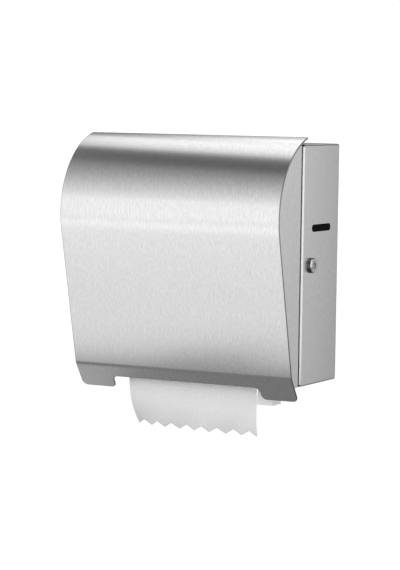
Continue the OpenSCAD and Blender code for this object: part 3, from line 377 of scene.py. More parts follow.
def ride_and_slot(piece, body, slot, *replaced):
    """Says which body a piece moves with and which CAD nodes it stands for; the slot, which names its finish,
    is not used.
    """
    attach(piece, body)
    if replaced:
        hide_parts(*replaced)
    print(piece.name, "of", len(piece.data.polygons), "faces rides on", body)


print("helpers", [f.__name__ for f in (piece_of, finish_mesh, thicken, edge_bevel, ride_and_slot)])

# %% [markdown]
# ## The front of the cover
# One sheet makes the whole front: it bows over the roll, runs straight down at a slight slope, folds
# back and ends in a lip with a wide notch for the fingers. A sheet only bends one way at a time, so
# its section is drawn as a row of points, one every degree of the bow, and pulled across the width.
# The lip is one flat face with the notch in its outline. Solidify then gives the sheet its thickness.

# %% Section of the cover
SKIN_HALF, SKIN_T, HEM_R = 176.5, 1.5, 1.2
BOW_C, BOW_R, BOW_STEPS = Vector((-73.5, 65.938)), 118.5, 80
TOP_ANGLE, FRONT_SLOPE, LIP_SLOPE = 75, 12.5, 33
FOLD, FOLD_R, FOLD_STEPS, LIP_LEN = Vector((-145.608, -156.3)), 20, 10, 41


def outward(angle):
    """The direction (y, z) that a part of the cover faces, turned up from straight ahead."""
    return Vector((-cos(radians(angle)), sin(radians(angle))))


def downward(angle):
    """The direction (y, z) down the cover where it faces that way."""
    return Vector((-sin(radians(angle)), -cos(radians(angle))))


FOLD_REACH = FOLD_R * tan(radians(LIP_SLOPE - FRONT_SLOPE) / 2)
FOLD_C = FOLD - FOLD_REACH * downward(-FRONT_SLOPE) - FOLD_R * outward(-FRONT_SLOPE)
LIP_END = FOLD + LIP_LEN * downward(-LIP_SLOPE)


def cover_section(depth):
    """Points (y, z) down the cover to the end of the fold, a depth below its outer face."""
    top = TOP_ANGLE - degrees(HEM_R / BOW_R)
    points = []
    for centre, radius, start, end, steps in ((BOW_C, BOW_R, top, -FRONT_SLOPE, BOW_STEPS),
                                              (FOLD_C, FOLD_R, -FRONT_SLOPE, -LIP_SLOPE, FOLD_STEPS)):
        points += [centre + (radius - depth) * outward(start + (end - start) * i / steps)
                   for i in range(steps + 1)]
    return points


print("section of", len(cover_section(0)), "points, lip ends at y, z", [round(v, 1) for v in LIP_END])

# %% Outline of the lip
NOTCH_HALF, NOTCH_H, NOTCH_R, CORNER_R = 119.5, 20.5, 8, 9


def arc(centre, radius, start, end, steps=8):
    """Points of an arc from one angle to another, in degrees."""
    angles = [radians(start + (end - start) * i / steps) for i in range(steps + 1)]
    return [Vector((centre[0] + radius * cos(a), centre[1] + radius * sin(a))) for a in angles]


# The sheet ends in the middle of the hem, so every edge of the outline lies a hem's radius further in.
left_half = (arc((CORNER_R - SKIN_HALF, CORNER_R), CORNER_R - HEM_R, 180, 270)
             + arc((-NOTCH_HALF - NOTCH_R, NOTCH_R), NOTCH_R - HEM_R, 270, 360)
             + arc((NOTCH_R - NOTCH_HALF, NOTCH_H - NOTCH_R), NOTCH_R + HEM_R, 180, 90))
lip_outline = left_half + [Vector((-p.x, p.y)) for p in reversed(left_half)]
print("lip outline of", len(lip_outline), "points")

# %% Cover front
EDGE = SKIN_HALF - HEM_R


def on_lip(point, depth):
    """The place (x, y, z) of a point of the lip's outline, a depth below its outer face."""
    return Vector((point.x, *(LIP_END - point.y * downward(-LIP_SLOPE) - depth * outward(-LIP_SLOPE))))


form = bmesh.new()
rows = [[form.verts.new(Vector((x, *p)) * MM) for x in (-EDGE, EDGE)] for p in cover_section(0)]
for upper, lower in zip(rows, rows[1:]):
    form.faces.new((upper[0], lower[0], lower[1], upper[1]))
lip = [form.verts.new(on_lip(p, 0) * MM) for p in lip_outline]
form.faces.new([rows[-1][0]] + lip + [rows[-1][1]])
cover_front = piece_of(form, "cover_front", brushed_steel)
thicken(cover_front, SKIN_T * MM)
finish_mesh(cover_front)
ride_and_slot(cover_front, "cover", "brushed_stainless", "cover_skin")

# %% [markdown]
# ## The body box
# The body is a shallow box folded from one sheet, with a narrow flange turned in round its mouth. The
# bends are what the eye sees: a rounded corner always finds something bright to mirror. So the box
# starts as a single skin, its bends are rounded, and then it gets its thickness and its holes.

# %% Body box
BODY_HALF_W, BODY_HALF_H, BODY_D, BODY_T, FLANGE = 175, 170, 115, 1.2, 12
BEND_R, BEND_STEPS = 2.8, 4

form = bmesh.new()
corner = {}
for x in (-1, 1):
    for z in (-1, 1):
        for line, y, inset in (("wall", 0, 0), ("front", -BODY_D, 0), ("mouth", -BODY_D, FLANGE)):
            corner[x, z, line] = form.verts.new(
                Vector((x * (BODY_HALF_W - inset), y, z * (BODY_HALF_H - inset))) * MM)
around = [(-1, -1), (1, -1), (1, 1), (-1, 1)]
form.faces.new([corner[x, z, "wall"] for x, z in around])
for (xa, za), (xb, zb) in zip(around, around[1:] + around[:1]):
    for far, near in (("wall", "front"), ("front", "mouth")):
        form.faces.new((corner[xa, za, far], corner[xb, zb, far],
                        corner[xb, zb, near], corner[xa, za, near]))
bmesh.ops.recalc_face_normals(form, faces=form.faces)
bends = [e for e in form.edges if len(e.link_faces) == 2 and e.calc_face_angle() > radians(60)]
bmesh.ops.bevel(form, geom=bends, offset=BEND_R * MM, segments=BEND_STEPS, profile=0.5, affect="EDGES")
body_box = piece_of(form, "body_box", brushed_steel)
thicken(body_box, BODY_T * MM)
print("body box of", len(body_box.data.polygons), "faces before its holes")

# %% Holes in the body
WALL_HOLES = [(x, z, 3) for x in (-153, 153) for z in (-110, 110)]
FOOT_HOLES = [(s * x, z, 2) for s in (-1, 1) for x, z in ((123, -134), (123, -74), (123.8, 48), (123.8, 76))]
WINDOW_C, WINDOW_LEN, WINDOW_W = (-57, 52), 60, 10.4
LOCK_C, BARREL_R, RELIEF_R = (-89, 0), 9.4, 3.2
OUTLET_LOW, OUTLET_HIGH = (-116, -130, -180), (133.5, -80, -157)
BACK_CUT, SIDE_CUT, FLANGE_CUTS, BURR = (-4, 2), (170, 180), ((-180, -160), (160, 180)), 0.25


def circle(centre, radius, steps):
    """Points once round a circle."""
    return arc(centre, radius, 0, 360 - 360 / steps, steps - 1)


def prism(form, outline, low, high, axis):
    """A straight solid over a flat outline, from low to high along an axis, in millimetres."""
    rings = [[form.verts.new(at_level(axis, h, *p) * MM) for p in outline] for h in (low, high)]
    form.faces.new(rings[0][::-1])
    form.faces.new(rings[1])
    for i in range(len(outline)):
        j = (i + 1) % len(outline)
        form.faces.new((rings[0][i], rings[0][j], rings[1][j], rings[1][i]))


def cut_away(piece, tool, crossing=False):
    """Cuts a tool, whose own solids may cross, out of a piece."""
    cut = piece.modifiers.new("cut_away", "BOOLEAN")
    cut.object, cut.operation, cut.solver, cut.use_self = tool, "DIFFERENCE", "EXACT", crossing


form = bmesh.new()
for x, z, r in WALL_HOLES + FOOT_HOLES:
    prism(form, circle((x, z), r, 16), *BACK_CUT, "y")
run = (WINDOW_LEN - WINDOW_W) / 2
window = (arc((WINDOW_C[0] + run, WINDOW_C[1]), WINDOW_W / 2, -90, 90, 16)
          + arc((WINDOW_C[0] - run, WINDOW_C[1]), WINDOW_W / 2, 90, 270, 16))
prism(form, window, *SIDE_CUT, "x")
prism(form, circle(LOCK_C, BARREL_R, 60), *SIDE_CUT, "x")
for reach in FLANGE_CUTS:
    for z in (-BODY_HALF_H, BODY_HALF_H):
        prism(form, circle((-BODY_D, z), RELIEF_R, 24), *reach, "x")
(x0, y0, z0), (x1, y1, z1) = OUTLET_LOW, OUTLET_HIGH
prism(form, [(x0, z0), (x1, z0), (x1, z1), (x0, z1)], y0, y1, "y")
bmesh.ops.recalc_face_normals(form, faces=form.faces)
holes = piece_of(form, "holes")
cut_away(body_box, holes)
edge_bevel(body_box, BURR * MM, angle=60)
finish_mesh(body_box)
bpy.data.objects.remove(holes)
ride_and_slot(body_box, "body", "brushed_stainless", "body_shell")

# %% [markdown]
# ## Metals of the lock and the mechanism
# The lock is die-cast zinc with a nickel plate. Its face is polished: bright, faintly warm and a
# little smudged by hands. Its rim gets a much darker colour, a painted reflection that stands in for
# the dark surroundings its polished side mirrors. Pins, rods, screws and rivets are zinc-plated steel,
# whose crystals give a soft cloudy spangle. The springs and the knife are drawn or ground spring steel,
# darker and smoother. One recipe serves them all, and the plastics and the card after them: two close
# colours, and a grain that also sets the polish and the relief.

# %% Plated and drawn metals
def grained(name, colours, rough, grain, noise, relief, sockets=(), tint=None, rim=None):
    """A surface with a grain in metres, clouds of a tint's size and a darker rim colour, a painted
    reflection, where it doesn't face along x.
    """
    material, tree, place = new_material(name)
    pits = add(tree, "TexNoise", {"Vector": place["Object"], "Scale": 1 / grain, **noise})
    cloud = add(tree, "TexNoise", {
        "Vector": place["Object"], "Scale": 1 / tint, "Detail": 3.0}) if tint else pits
    tone = add(tree, "Mix", {0: cloud, 6: linear(colours[0]), 7: linear(colours[1])}, data_type="RGBA")
    # Painted reflection: faces that don't look along x take the dark rim colour.
    if rim:
        facing = add(tree, "SeparateXYZ", {0: place["Normal"]})
        face = add(tree, "Math", {0: facing, 1: 0.6}, operation="GREATER_THAN")
        tone = add(tree, "Mix", {0: face, 6: linear(rim), 7: tone.outputs[2]}, data_type="RGBA")
    polish = rough[0] if len(rough) == 1 else add(tree, "MapRange", {
        "Value": pits, "From Min": 0.3, "From Max": 0.7, "To Min": rough[0], "To Max": rough[1]})
    bump = add(tree, "Bump", {"Height": pits, "Strength": relief[0], "Distance": relief[1]})
    skin = add(tree, "BsdfPrincipled", {
        "Base Color": tone.outputs[2], "Roughness": polish, "Normal": bump, **dict(sockets)})
    add(tree, "OutputMaterial", {"Surface": skin})
    return material


def plated_metal(name, dark, bright, rough, mottle, rim=None):
    """A bare metal, mottled in a size in metres."""
    return grained(name, (dark, bright), (rough, rough * 1.5), mottle, {"Detail": 4.0, "Roughness": 0.55},
                   (0.06, mottle / 20), {"Metallic": 1.0}, rim=rim)


NICKEL = ("#CDCCCA", "#E2E1DF", 0.12, 5 * MM)
nickel_plate = plated_metal("polished_nickel_plate", *NICKEL)
# Nickel with a painted dark rim, a painted reflection of the dark surroundings its polished side mirrors.
lock_nickel = plated_metal("nickel_plate_with_cast_rim", *NICKEL, "#606063")
zinc_plate = plated_metal("zinc_plated_steel", "#A9ADB3", "#CFD2D6", 0.3, 3 * MM)
spring_wire = plated_metal("drawn_spring_steel", "#7C7E82", "#A3A5A8", 0.24, 1.2 * MM)

# %% [markdown]
# ## Plastics and rubber
# The frame, the drum and the drive housing are moulded ABS, white with the fine satin of a
# spark-eroded mould. Ratchet, bearings and knob are acetal, a greyer and waxier plastic. The drum
# grips the paper with rubber bands. The mould's grain is a third of a millimetre, drawn a little
# coarser so that it shows as satin. The window is smoked polycarbonate with a matt inner face, so it
# looks black and hardly mirrors.

# %% Moulded plastics, rubber and the smoked window
FLOW_LINES = 60


def moulded(name, dark, bright, rough, grain, depth, shine=0.5):
    """A moulded plastic or rubber with a mould grain of a given size, and flow lines many times that."""
    return grained(name, (dark, bright), (rough - 0.05, rough + 0.07), grain, {"Detail": 2.0},
                   (0.15, depth), {"Specular IOR Level": shine}, FLOW_LINES * grain)


white_abs = moulded("white_abs", "#D8D8D7", "#E0E0DF", 0.42, 0.4 * MM, 0.03 * MM)
grey_acetal = moulded("grey_acetal", "#8F949B", "#A2A7AD", 0.36, 0.5 * MM, 0.02 * MM)
grip_rubber = moulded("grip_rubber", "#232325", "#333336", 0.75, 0.8 * MM, 0.1 * MM, 0.3)
smoked_lens = moulded("smoked_polycarbonate", "#060607", "#0A0A0B", 0.55, 0.6 * MM, 0.01 * MM, 0.03)

# %% [markdown]
# ## Paper and card
# The towel is crêped paper, embossed with fine slanting ribs about three millimetres apart so that it
# takes up water. The ribs follow the sheet, not the room, so they read the sheet's own UV map, which
# is laid out in metres. The core is grey-brown card of coarse pulp.

# %% Towel paper and core card
RIB_PITCH, FIBRE, PULP = 3.0 * MM, 0.9 * MM, 1.5 * MM
ONE_BAND = 2 * pi / 20  # the scale at which a Wave texture draws one band for each unit


def embossed_paper(name, coordinate, turn):
    """Crêped paper with slanting ribs, laid out by the sheet's UV map or by the object's own axes."""
    material, tree, place = new_material(name)
    flat = place[coordinate]
    slant = add(tree, "Mapping", {"Vector": flat, "Rotation": turn, "Scale": (1 / RIB_PITCH,) * 3})
    ribs = add(tree, "TexWave", {
        "Vector": slant, "Scale": ONE_BAND, "Distortion": 1.2, "Detail": 2.0, "Detail Scale": 1.5},
        wave_type="BANDS", bands_direction="X", wave_profile="SIN").outputs["Fac"]
    fibres = add(tree, "TexNoise", {"Vector": flat, "Scale": 1 / FIBRE, "Detail": 4.0})
    height = add(tree, "Math", {0: ribs, 1: fibres}, operation="ADD")
    # The colour follows the ribs, darker in their valleys: a painted shade in the creases, on top of the
    # bump.
    tone = add(tree, "Mix", {0: ribs, 6: linear("#D9D9D9"), 7: linear("#E6E6E6")}, data_type="RGBA")
    press = add(tree, "Bump", {"Height": height, "Strength": 0.38, "Distance": 0.4 * MM})
    paper = add(tree, "BsdfPrincipled", {
        "Base Color": tone.outputs[2], "Roughness": 0.95, "Normal": press, "Specular IOR Level": 0.2})
    add(tree, "OutputMaterial", {"Surface": paper})
    return material


towel_paper = embossed_paper("embossed_towel_paper", "UV", (0, 0, radians(-60)))
rolled_paper = embossed_paper("rolled_towel_paper", "Object", (0, radians(45), 0))
core_card = grained("wound_core_card", ("#A48A66", "#C4AB85"), (0.9,), PULP, {"Detail": 5.0}, (0.3, 0.1 * MM))

# %% [markdown]
# ## The towel
# One long sheet leaves the roll, turns round the pinch roller, lies over the drum and hangs out of the
# notch, where the knife has left a row of teeth. Cloth simulation could drape it, but the rollers fix
# its path, so the path is worked out from their circles and the sheet is laid along it row by row.
# The free end has a curled corner and a gentle wave, as paper from a roll has.

# %% Path of the towel
ROLL_C, ROLL_R = Vector((-92, 62)), 80
PINCH_C, PINCH_R = Vector((-56.257, -67.647)), 8
DRUM_C, DRUM_R, NIP_ANGLE = Vector((-72.4, -112)), 38, 70
OFF, TOWEL_HALF, BODY_LOW = 0.6, 105, -170
pull = PINCH_C - ROLL_C
leave = degrees(atan2(pull.y, pull.x) + acos((ROLL_R - PINCH_R) / pull.length))
path = (arc(ROLL_C, ROLL_R + OFF, leave, leave, 1)[:1]
        + arc(PINCH_C, PINCH_R + OFF, leave, NIP_ANGLE - 180, 24)
        + arc(DRUM_C, DRUM_R + OFF, NIP_ANGLE, 180, 48)[1:]
        + [Vector((DRUM_C.x - DRUM_R - OFF, BODY_LOW))])
travelled = [0.0]
for a, b in zip(path, path[1:]):
    travelled.append(travelled[-1] + (b - a).length)
INSIDE = travelled[-1]


def along_path(distance):
    """The point (y, z) that lies a distance along the towel's path."""
    i = next((k for k in range(1, len(path)) if travelled[k] >= distance), len(path) - 1)
    part = (distance - travelled[i - 1]) / (travelled[i] - travelled[i - 1])
    return path[i - 1].lerp(path[i], part)


print("the towel leaves the roll at", round(leave, 1), "degrees and runs", round(INSIDE), "mm to the outlet")

# %% Hanging end of the towel
TAIL, TOOTH, TEETH = 77, 7.5, 8
CURL_BACK, CURL_FROM = 24, 0.35
WAVE, WAVE_COUNT, WAVE_LEAN = 1.1, 1.3, 3
BEND_BACK, BEND_FROM, BEND_SLANT, BEND_EASE, STIFF_RIGHT = 6, 0.5, 0.12, 1.5, 0.4


def tail_point(u, v):
    """The place of the hanging end, u from -1 to 1 across and v from 0 to 1 down."""
    tooth = 1 - abs(((u + 1) * TEETH) % 2 - 1)
    down = v * (1 - tooth * TOOTH / TAIL)
    curl = CURL_BACK * down ** 2 * (max(0, CURL_FROM - u) / (1 + CURL_FROM)) ** 2
    wave = WAVE * (down ** 2 * sin(2 * pi * WAVE_COUNT * u + WAVE_LEAN * down) - sin(pi * down))
    start = BEND_FROM + BEND_SLANT * u
    bend = BEND_BACK * (max(0, down - start) / (1 - start)) ** BEND_EASE * (1 - STIFF_RIGHT * max(0, u))
    return u * TOWEL_HALF, path[-1].x + curl + wave + bend, BODY_LOW - down * TAIL


print("the middle of the cut edge is at", [round(v, 1) for v in tail_point(0, 1)], "mm")

# %% Towel sheet
COLUMNS, ROW_STEP, TAIL_ROWS, PAPER_T = 96, 3.0, 30, 0.3

form = bmesh.new()
flat_map = form.loops.layers.uv.new("flat_metres")
spots, rows = {}, []
row_count = int(INSIDE / ROW_STEP)
for j in range(row_count + TAIL_ROWS + 1):
    rows.append([])
    for i in range(COLUMNS + 1):
        u = 2 * i / COLUMNS - 1
        if j <= row_count:
            run = INSIDE * j / row_count
            point = (u * TOWEL_HALF, *along_path(run))
        else:
            point = tail_point(u, (j - row_count) / TAIL_ROWS)
            run = INSIDE + BODY_LOW - point[2]
        vert = form.verts.new(Vector(point) * MM)
        spots[vert] = (u * TOWEL_HALF * MM, run * MM)
        rows[-1].append(vert)
area = 0
for upper, lower in zip(rows, rows[1:]):
    for i in range(COLUMNS):
        face = form.faces.new((upper[i], lower[i], lower[i + 1], upper[i + 1]))
        area += face.calc_area()
        for loop in face.loops:
            loop[flat_map].uv = spots[loop.vert]
form.normal_update()
towel = piece_of(form, "towel", towel_paper)
thicken(towel, PAPER_T * MM, offset=0, even=False)
finish_mesh(towel)
ride_and_slot(towel, "body", "towel_paper", "towel_web", "towel_tail")

# %% [markdown]
# ## Wire and winding with Geometry Nodes
# Springs, the hem and the roll follow a path, which is what Geometry Nodes are good at. This tree turns
# the edges of an object into a curve and sweeps a circle along it, which makes wire. The sizes are
# named inputs of the tree, so it serves every spring, and a modifier takes them by the identifiers of
# their sockets. The result is kept as a plain mesh, because only meshes are exported.

# %% Geometry tree helpers
def node_tree(name, **inputs):
    """An empty geometry tree with named inputs of given kinds, and the sockets they come from."""
    tree = bpy.data.node_groups.new(name, "GeometryNodeTree")
    tree.interface.new_socket("Geometry", in_out="OUTPUT", socket_type="NodeSocketGeometry")
    for label, kind in {"Geometry": "Geometry", **inputs}.items():
        tree.interface.new_socket(label, in_out="INPUT", socket_type="NodeSocket" + kind)
    return tree, add(tree, "NodeGroupInput").outputs


def end_tree(tree, shape, finish):
    """Ends a geometry tree: its instances are made real and its finish is set."""
    real = add(tree, "GeometryNodeRealizeInstances", {"Geometry": shape})
    dressed = add(tree, "GeometryNodeSetMaterial", {"Geometry": real, "Material": finish})
    add(tree, "NodeGroupOutput", {"Geometry": dressed})
    print("tree", tree.name, "of", len(tree.nodes), "nodes")


def grown(name, points, edges, tree, **values):
    """A plain mesh piece that a geometry tree grows from points and edges given in millimetres."""
    mesh = bpy.data.meshes.new(name)
    mesh.from_pydata([Vector(p) * MM for p in points], edges, [])
    piece = new_piece(name, mesh)
    grower = piece.modifiers.new("grow", "NODES")
    grower.node_group = tree
    identifiers = {socket.name: socket.identifier for socket in tree.interface.items_tree}
    for label, value in values.items():
        grower[identifiers[label]] = value
    return keep_result(piece)


print("helpers", [f.__name__ for f in (node_tree, end_tree, grown)])

# %% Wire along a path
wire_tree, given = node_tree("wire_along_path", wire_radius="Float", sides="Int", finish="Material")
line = add(wire_tree, "GeometryNodeMeshToCurve", {"Mesh": given["Geometry"]})
ring = add(wire_tree, "GeometryNodeCurvePrimitiveCircle", {
    "Resolution": given["sides"], "Radius": given["wire_radius"]})
swept = add(wire_tree, "GeometryNodeCurveToMesh", {"Curve": line, "Profile Curve": ring, "Fill Caps": True})
smooth = add(wire_tree, "GeometryNodeSetShadeSmooth", {"Geometry": swept})
end_tree(wire_tree, smooth, given["finish"])


def wire_piece(name, paths, radius, sides=8, finish=spring_wire, closed=False):
    """A piece of round section along one or more paths, which may be closed rings."""
    points = [p for one in paths for p in one]
    edges, first = [], 0
    for one in paths:
        edges += [(first + i, first + i + 1) for i in range(len(one) - 1)]
        edges += [(first + len(one) - 1, first)] * closed
        first += len(one)
    return grown(name, points, edges, wire_tree, wire_radius=radius * MM, sides=sides, finish=finish)


# %% [markdown]
# ## The hem of the cover
# A sheet edge that hands can reach is folded back on itself, and the fold looks like a thin round
# rod along the whole edge. The real fold is brushed like the sheet. Its darker grey here is a painted
# shade for the thin shadow line beside the fold, and it draws a fine dark line round the cover. Bevelling
# the sheet can't give more than half its thickness, so the wire tree sweeps the hem instead, once round the
# front.

# %% Hem
TOP_CORNER_R, HEM_SIDES = 4, 16
# The hem's darker grey is painted shade, for the shadow line beside the fold.
hem_shade_steel = plated_metal("mill_finish_steel", "#868687", "#9B9B9C", 0.3, 4 * MM)
middle = cover_section(HEM_R)
down = (middle[1] - middle[0]).normalized()
inward = arc((TOP_CORNER_R, TOP_CORNER_R), TOP_CORNER_R, 270, 180, 6)
top_corner = [Vector((EDGE - p.x, *(middle[0] + p.y * down))) for p in inward]
half = top_corner + [Vector((EDGE, *p)) for p in middle if (p - middle[0]).length > TOP_CORNER_R]
lip_run = [on_lip(p, HEM_R) for p in reversed(lip_outline)]
loop = half + lip_run + [Vector((-p.x, p.y, p.z)) for p in reversed(half)]
hem = wire_piece("cover_hem", [loop], HEM_R, HEM_SIDES, hem_shade_steel, closed=True)
ride_and_slot(hem, "cover", "brushed_stainless")

# %% [markdown]
# ## The springs
# A pull spring between the crank and its anchor drives the drum, two push springs hold the pinch
# roller on it, and a spring with two legs swings the roll arm. A Screw modifier could wind a coil, but
# not its straight ends and legs, so the path is worked out point by point for the wire tree.

# %% Return spring and pinch springs
CURL_STEPS = 24
CRANK_R, ANCHOR, RETURN_X, PIN_GAP, ANCHOR_GAP = 20, Vector((-104, -190)), 123.5, 3, 2.5
RETURN_R, RETURN_TURNS, RETURN_LEAD, RETURN_WIRE = 3.5, 22, 2, 0.5
LIFT_WAY = Vector((0, sin(radians(20)), cos(radians(20))))
PINCH_X, PINCH_FOOT, PINCH_LEN, PINCH_SEAT = 116.05, 6.4, 8.2, 15
PINCH_COIL_R, PINCH_TURNS, PINCH_LEAD, PINCH_WIRE = 2.5, 4, 0.8, 0.4


def coil(start, end, radius, turns, lead):
    """Points of a coil whose axis lies across x, from start to end, with short straight leads."""
    forward = (end - start).normalized()
    side = forward.cross(Vector((1, 0, 0))).normalized()
    other = forward.cross(side)
    count, run = turns * CURL_STEPS, (end - start).length - 2 * lead
    points = [start]
    for i in range(count + 1):
        wide = radius * min(1, 2 * min(i, count - i) / CURL_STEPS)
        a = 2 * pi * i / CURL_STEPS
        points.append(start + (lead + run * i / count) * forward + wide * (cos(a) * side + sin(a) * other))
    return points + [end]


to_anchor = (ANCHOR - DRUM_C).normalized()
hooks = [DRUM_C + (CRANK_R + PIN_GAP) * to_anchor, ANCHOR - ANCHOR_GAP * to_anchor]
hooks = [Vector((RETURN_X, *hook)) for hook in hooks]
return_spring = wire_piece("return_coil", [coil(*hooks, RETURN_R, RETURN_TURNS, RETURN_LEAD)], RETURN_WIRE)
ride_and_slot(return_spring, "body", "spring_steel", "return_spring")

pinch_axis = Vector((0, *PINCH_C))
feet = [pinch_axis + Vector((x, 0, 0)) + PINCH_FOOT * LIFT_WAY for x in (-PINCH_X, PINCH_X)]
coils = [coil(foot, foot + PINCH_LEN * LIFT_WAY, PINCH_COIL_R, PINCH_TURNS, PINCH_LEAD) for foot in feet]
pinch_coils = wire_piece("pinch_coils", coils, PINCH_WIRE)
ride_and_slot(pinch_coils, "body", "spring_steel", "pinch_springs")
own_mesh(pinch_coils)

# %% Spring of the roll arm
PIVOT, ARM_COIL_R, ARM_COIL_H, ARM_TURNS, ARM_WIRE = Vector((117.8, -14)), 3.4, 11.2, 5, 0.5
LOWER_LEG, UPPER_LEG = 13, -1
low_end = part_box("arm_spring")[0].z / MM + ARM_WIRE
count = ARM_TURNS * CURL_STEPS
turns = [Vector((*p, low_end + ARM_COIL_H * i / count))
         for i, p in enumerate(arc(PIVOT, ARM_COIL_R, 90, 90 + 360 * ARM_TURNS, count))]
legs = [Vector((PIVOT.x + leg, PIVOT.y + ARM_COIL_R, low_end + rise))
        for leg, rise in ((LOWER_LEG, 0), (UPPER_LEG, ARM_COIL_H))]
arm_coil = wire_piece("arm_coil", [legs[:1] + turns + legs[1:]], ARM_WIRE)
ride_and_slot(arm_coil, "body", "spring_steel", "arm_spring")

# %% [markdown]
# ## The roll of towels
# A full roll is one strip wound round a card core, and its ends show the edges of the layers. A
# cylinder with a ring pattern would look flat when the cover is open, so the strip is really wound:
# a spiral with a thin upright rectangle swept along it. The paper is thinner than a millimetre, and
# some sixty layers stand for two hundred, so that the gaps between them still show.

# %% Tree of a wound strip
LAYER_STEPS, DRIFT = 72, 9 * MM
winding, given = node_tree(
    "wound_strip", inner_radius="Float", outer_radius="Float", turns="Float", strip_width="Float",
    strip_thickness="Float", edge_shift="Float", place="Vector", finish="Material")
spiral = add(winding, "GeometryNodeCurveSpiral", {
    "Resolution": LAYER_STEPS, "Rotations": given["turns"], "Start Radius": given["inner_radius"],
    "End Radius": given["outer_radius"], "Height": 0.0})
strip = add(winding, "GeometryNodeCurvePrimitiveQuadrilateral", {
    "Width": given["strip_thickness"], "Height": given["strip_width"]}, mode="RECTANGLE")
level = add(winding, "GeometryNodeSetCurveNormal", {"Curve": spiral}, mode="Z_UP")
swept = add(winding, "GeometryNodeCurveToMesh", {"Curve": level, "Profile Curve": strip, "Fill Caps": True})
spot = add(winding, "GeometryNodeInputPosition")
drift = add(winding, "TexNoise", {"Vector": spot, "Scale": 1 / DRIFT, "Detail": 1.0})
shift = add(winding, "Math", {
    0: add(winding, "Math", {0: drift, 1: 0.5}, operation="SUBTRACT"),
    1: given["edge_shift"]}, operation="MULTIPLY")
moved = add(winding, "GeometryNodeSetPosition", {
    "Geometry": swept, "Offset": add(winding, "CombineXYZ", {"Z": shift})})
laid = add(winding, "GeometryNodeTransform", {
    "Geometry": moved, "Translation": given["place"], "Rotation": (0, pi / 2, 0)})
end_tree(winding, laid, given["finish"])

# %% Wound roll
LAYERS, CORE_R, LAYER_T, EDGE_SHIFT = 58, 20.6, 0.92, 0.5
wound_roll = grown(
    "wound_roll", [(0, 0, 0)], [], winding, inner_radius=(CORE_R + LAYER_T / 2) * MM,
    outer_radius=(ROLL_R - LAYER_T / 2) * MM, turns=float(LAYERS),
    strip_width=(2 * TOWEL_HALF - 2 * EDGE_SHIFT) * MM, strip_thickness=LAYER_T * MM,
    edge_shift=2 * EDGE_SHIFT * MM, place=(0, ROLL_C.x * MM, ROLL_C.y * MM), finish=rolled_paper)
ride_and_slot(wound_roll, "roll", "towel_paper", "towel_roll")

# %% [markdown]
# ## Screws and rivets
# The mechanism is held by pan-head screws with a cross recess, and the hinge by small domed rivets.
# Each kind is turned once on a lathe of points, and a Boolean cuts the recess. A tree then puts a copy
# on each place, points its head along a given axis and turns it by a random angle, because nobody
# lines up screw slots. The seed is fixed, so that every run gives the same angles.

# %% Turned pieces
HEAD_H, DOUBLES = 2.4, 0.001 * MM


def lathe(name, profile, steps=32):
    """A turned piece with its axis along z, from points (radius, height) in millimetres."""
    form = bmesh.new()
    line = [form.verts.new(Vector((r, 0, z)) * MM) for r, z in profile]
    edges = [form.edges.new(pair) for pair in zip(line, line[1:])]
    bmesh.ops.spin(form, geom=line + edges, cent=(0, 0, 0), axis=(0, 0, 1), angle=2 * pi, steps=steps)
    bmesh.ops.remove_doubles(form, verts=form.verts, dist=DOUBLES)
    bmesh.ops.recalc_face_normals(form, faces=form.faces)
    return piece_of(form, name)


def pan_screw(name, head_r, shank_r, shank_len):
    """A pan-head screw with a cross recess, which stands on its seat at the origin, its shank below."""
    screw = lathe(name, [
        (0, -shank_len), (shank_r * 0.8, -shank_len), (shank_r, 0.3 - shank_len), (shank_r, 0), (head_r, 0),
        (head_r, HEAD_H * 0.45), (head_r * 0.9, HEAD_H * 0.78), (head_r * 0.66, HEAD_H * 0.96), (0, HEAD_H)])
    wide, slim = head_r * 1.05 * MM, head_r * 0.26 * MM
    form = bmesh.new()
    for size in ((wide, slim), (slim, wide)):
        bmesh.ops.create_cube(form, size=1, matrix=Matrix.Translation((0, 0, HEAD_H * MM))
                              @ Matrix.Diagonal((*size, HEAD_H * MM, 1)))
    cross = piece_of(form, "cross")
    cut_away(screw, cross, crossing=True)
    finish_mesh(screw)
    bpy.data.objects.remove(cross)
    return screw


frame_screw = pan_screw("frame_screw", head_r=4, shank_r=2, shank_len=3.9)
ear_screw = pan_screw("ear_screw", head_r=3.4, shank_r=1.7, shank_len=7)
rivet = lathe("rivet", [(0, 0), (1.6, 0), (1.6, 0.2), (1.3, 0.55), (0.7, 0.76), (0, 0.8)], 20)
rivet.data.shade_smooth()
print("turned", [piece.name for piece in (frame_screw, ear_screw, rivet)])

# %% Tree that sets fasteners on points
SEED = 7
setter, given = node_tree("fasteners_on_points", fastener="Object", axis="Vector", finish="Material")
shape = add(setter, "GeometryNodeObjectInfo", {"Object": given["fastener"]})
upright = add(setter, "FunctionNodeAlignRotationToVector", {"Vector": given["axis"]}, axis="Z")
angle = add(setter, "FunctionNodeRandomValue", {"Min": 0.0, "Max": 2 * pi, "Seed": SEED}, data_type="FLOAT")
screwed = add(setter, "FunctionNodeRotateRotation", {
    "Rotation": upright, "Rotate By": add(setter, "FunctionNodeAxisAngleToRotation", {
        "Axis": (0, 0, 1), "Angle": angle.outputs["Value"]})}, rotation_space="LOCAL")
seats = add(setter, "GeometryNodeMeshToPoints", {"Mesh": given["Geometry"]})
copies = add(setter, "GeometryNodeInstanceOnPoints", {
    "Points": seats, "Instance": shape.outputs["Geometry"], "Rotation": screwed})
end_tree(setter, copies, given["finish"])

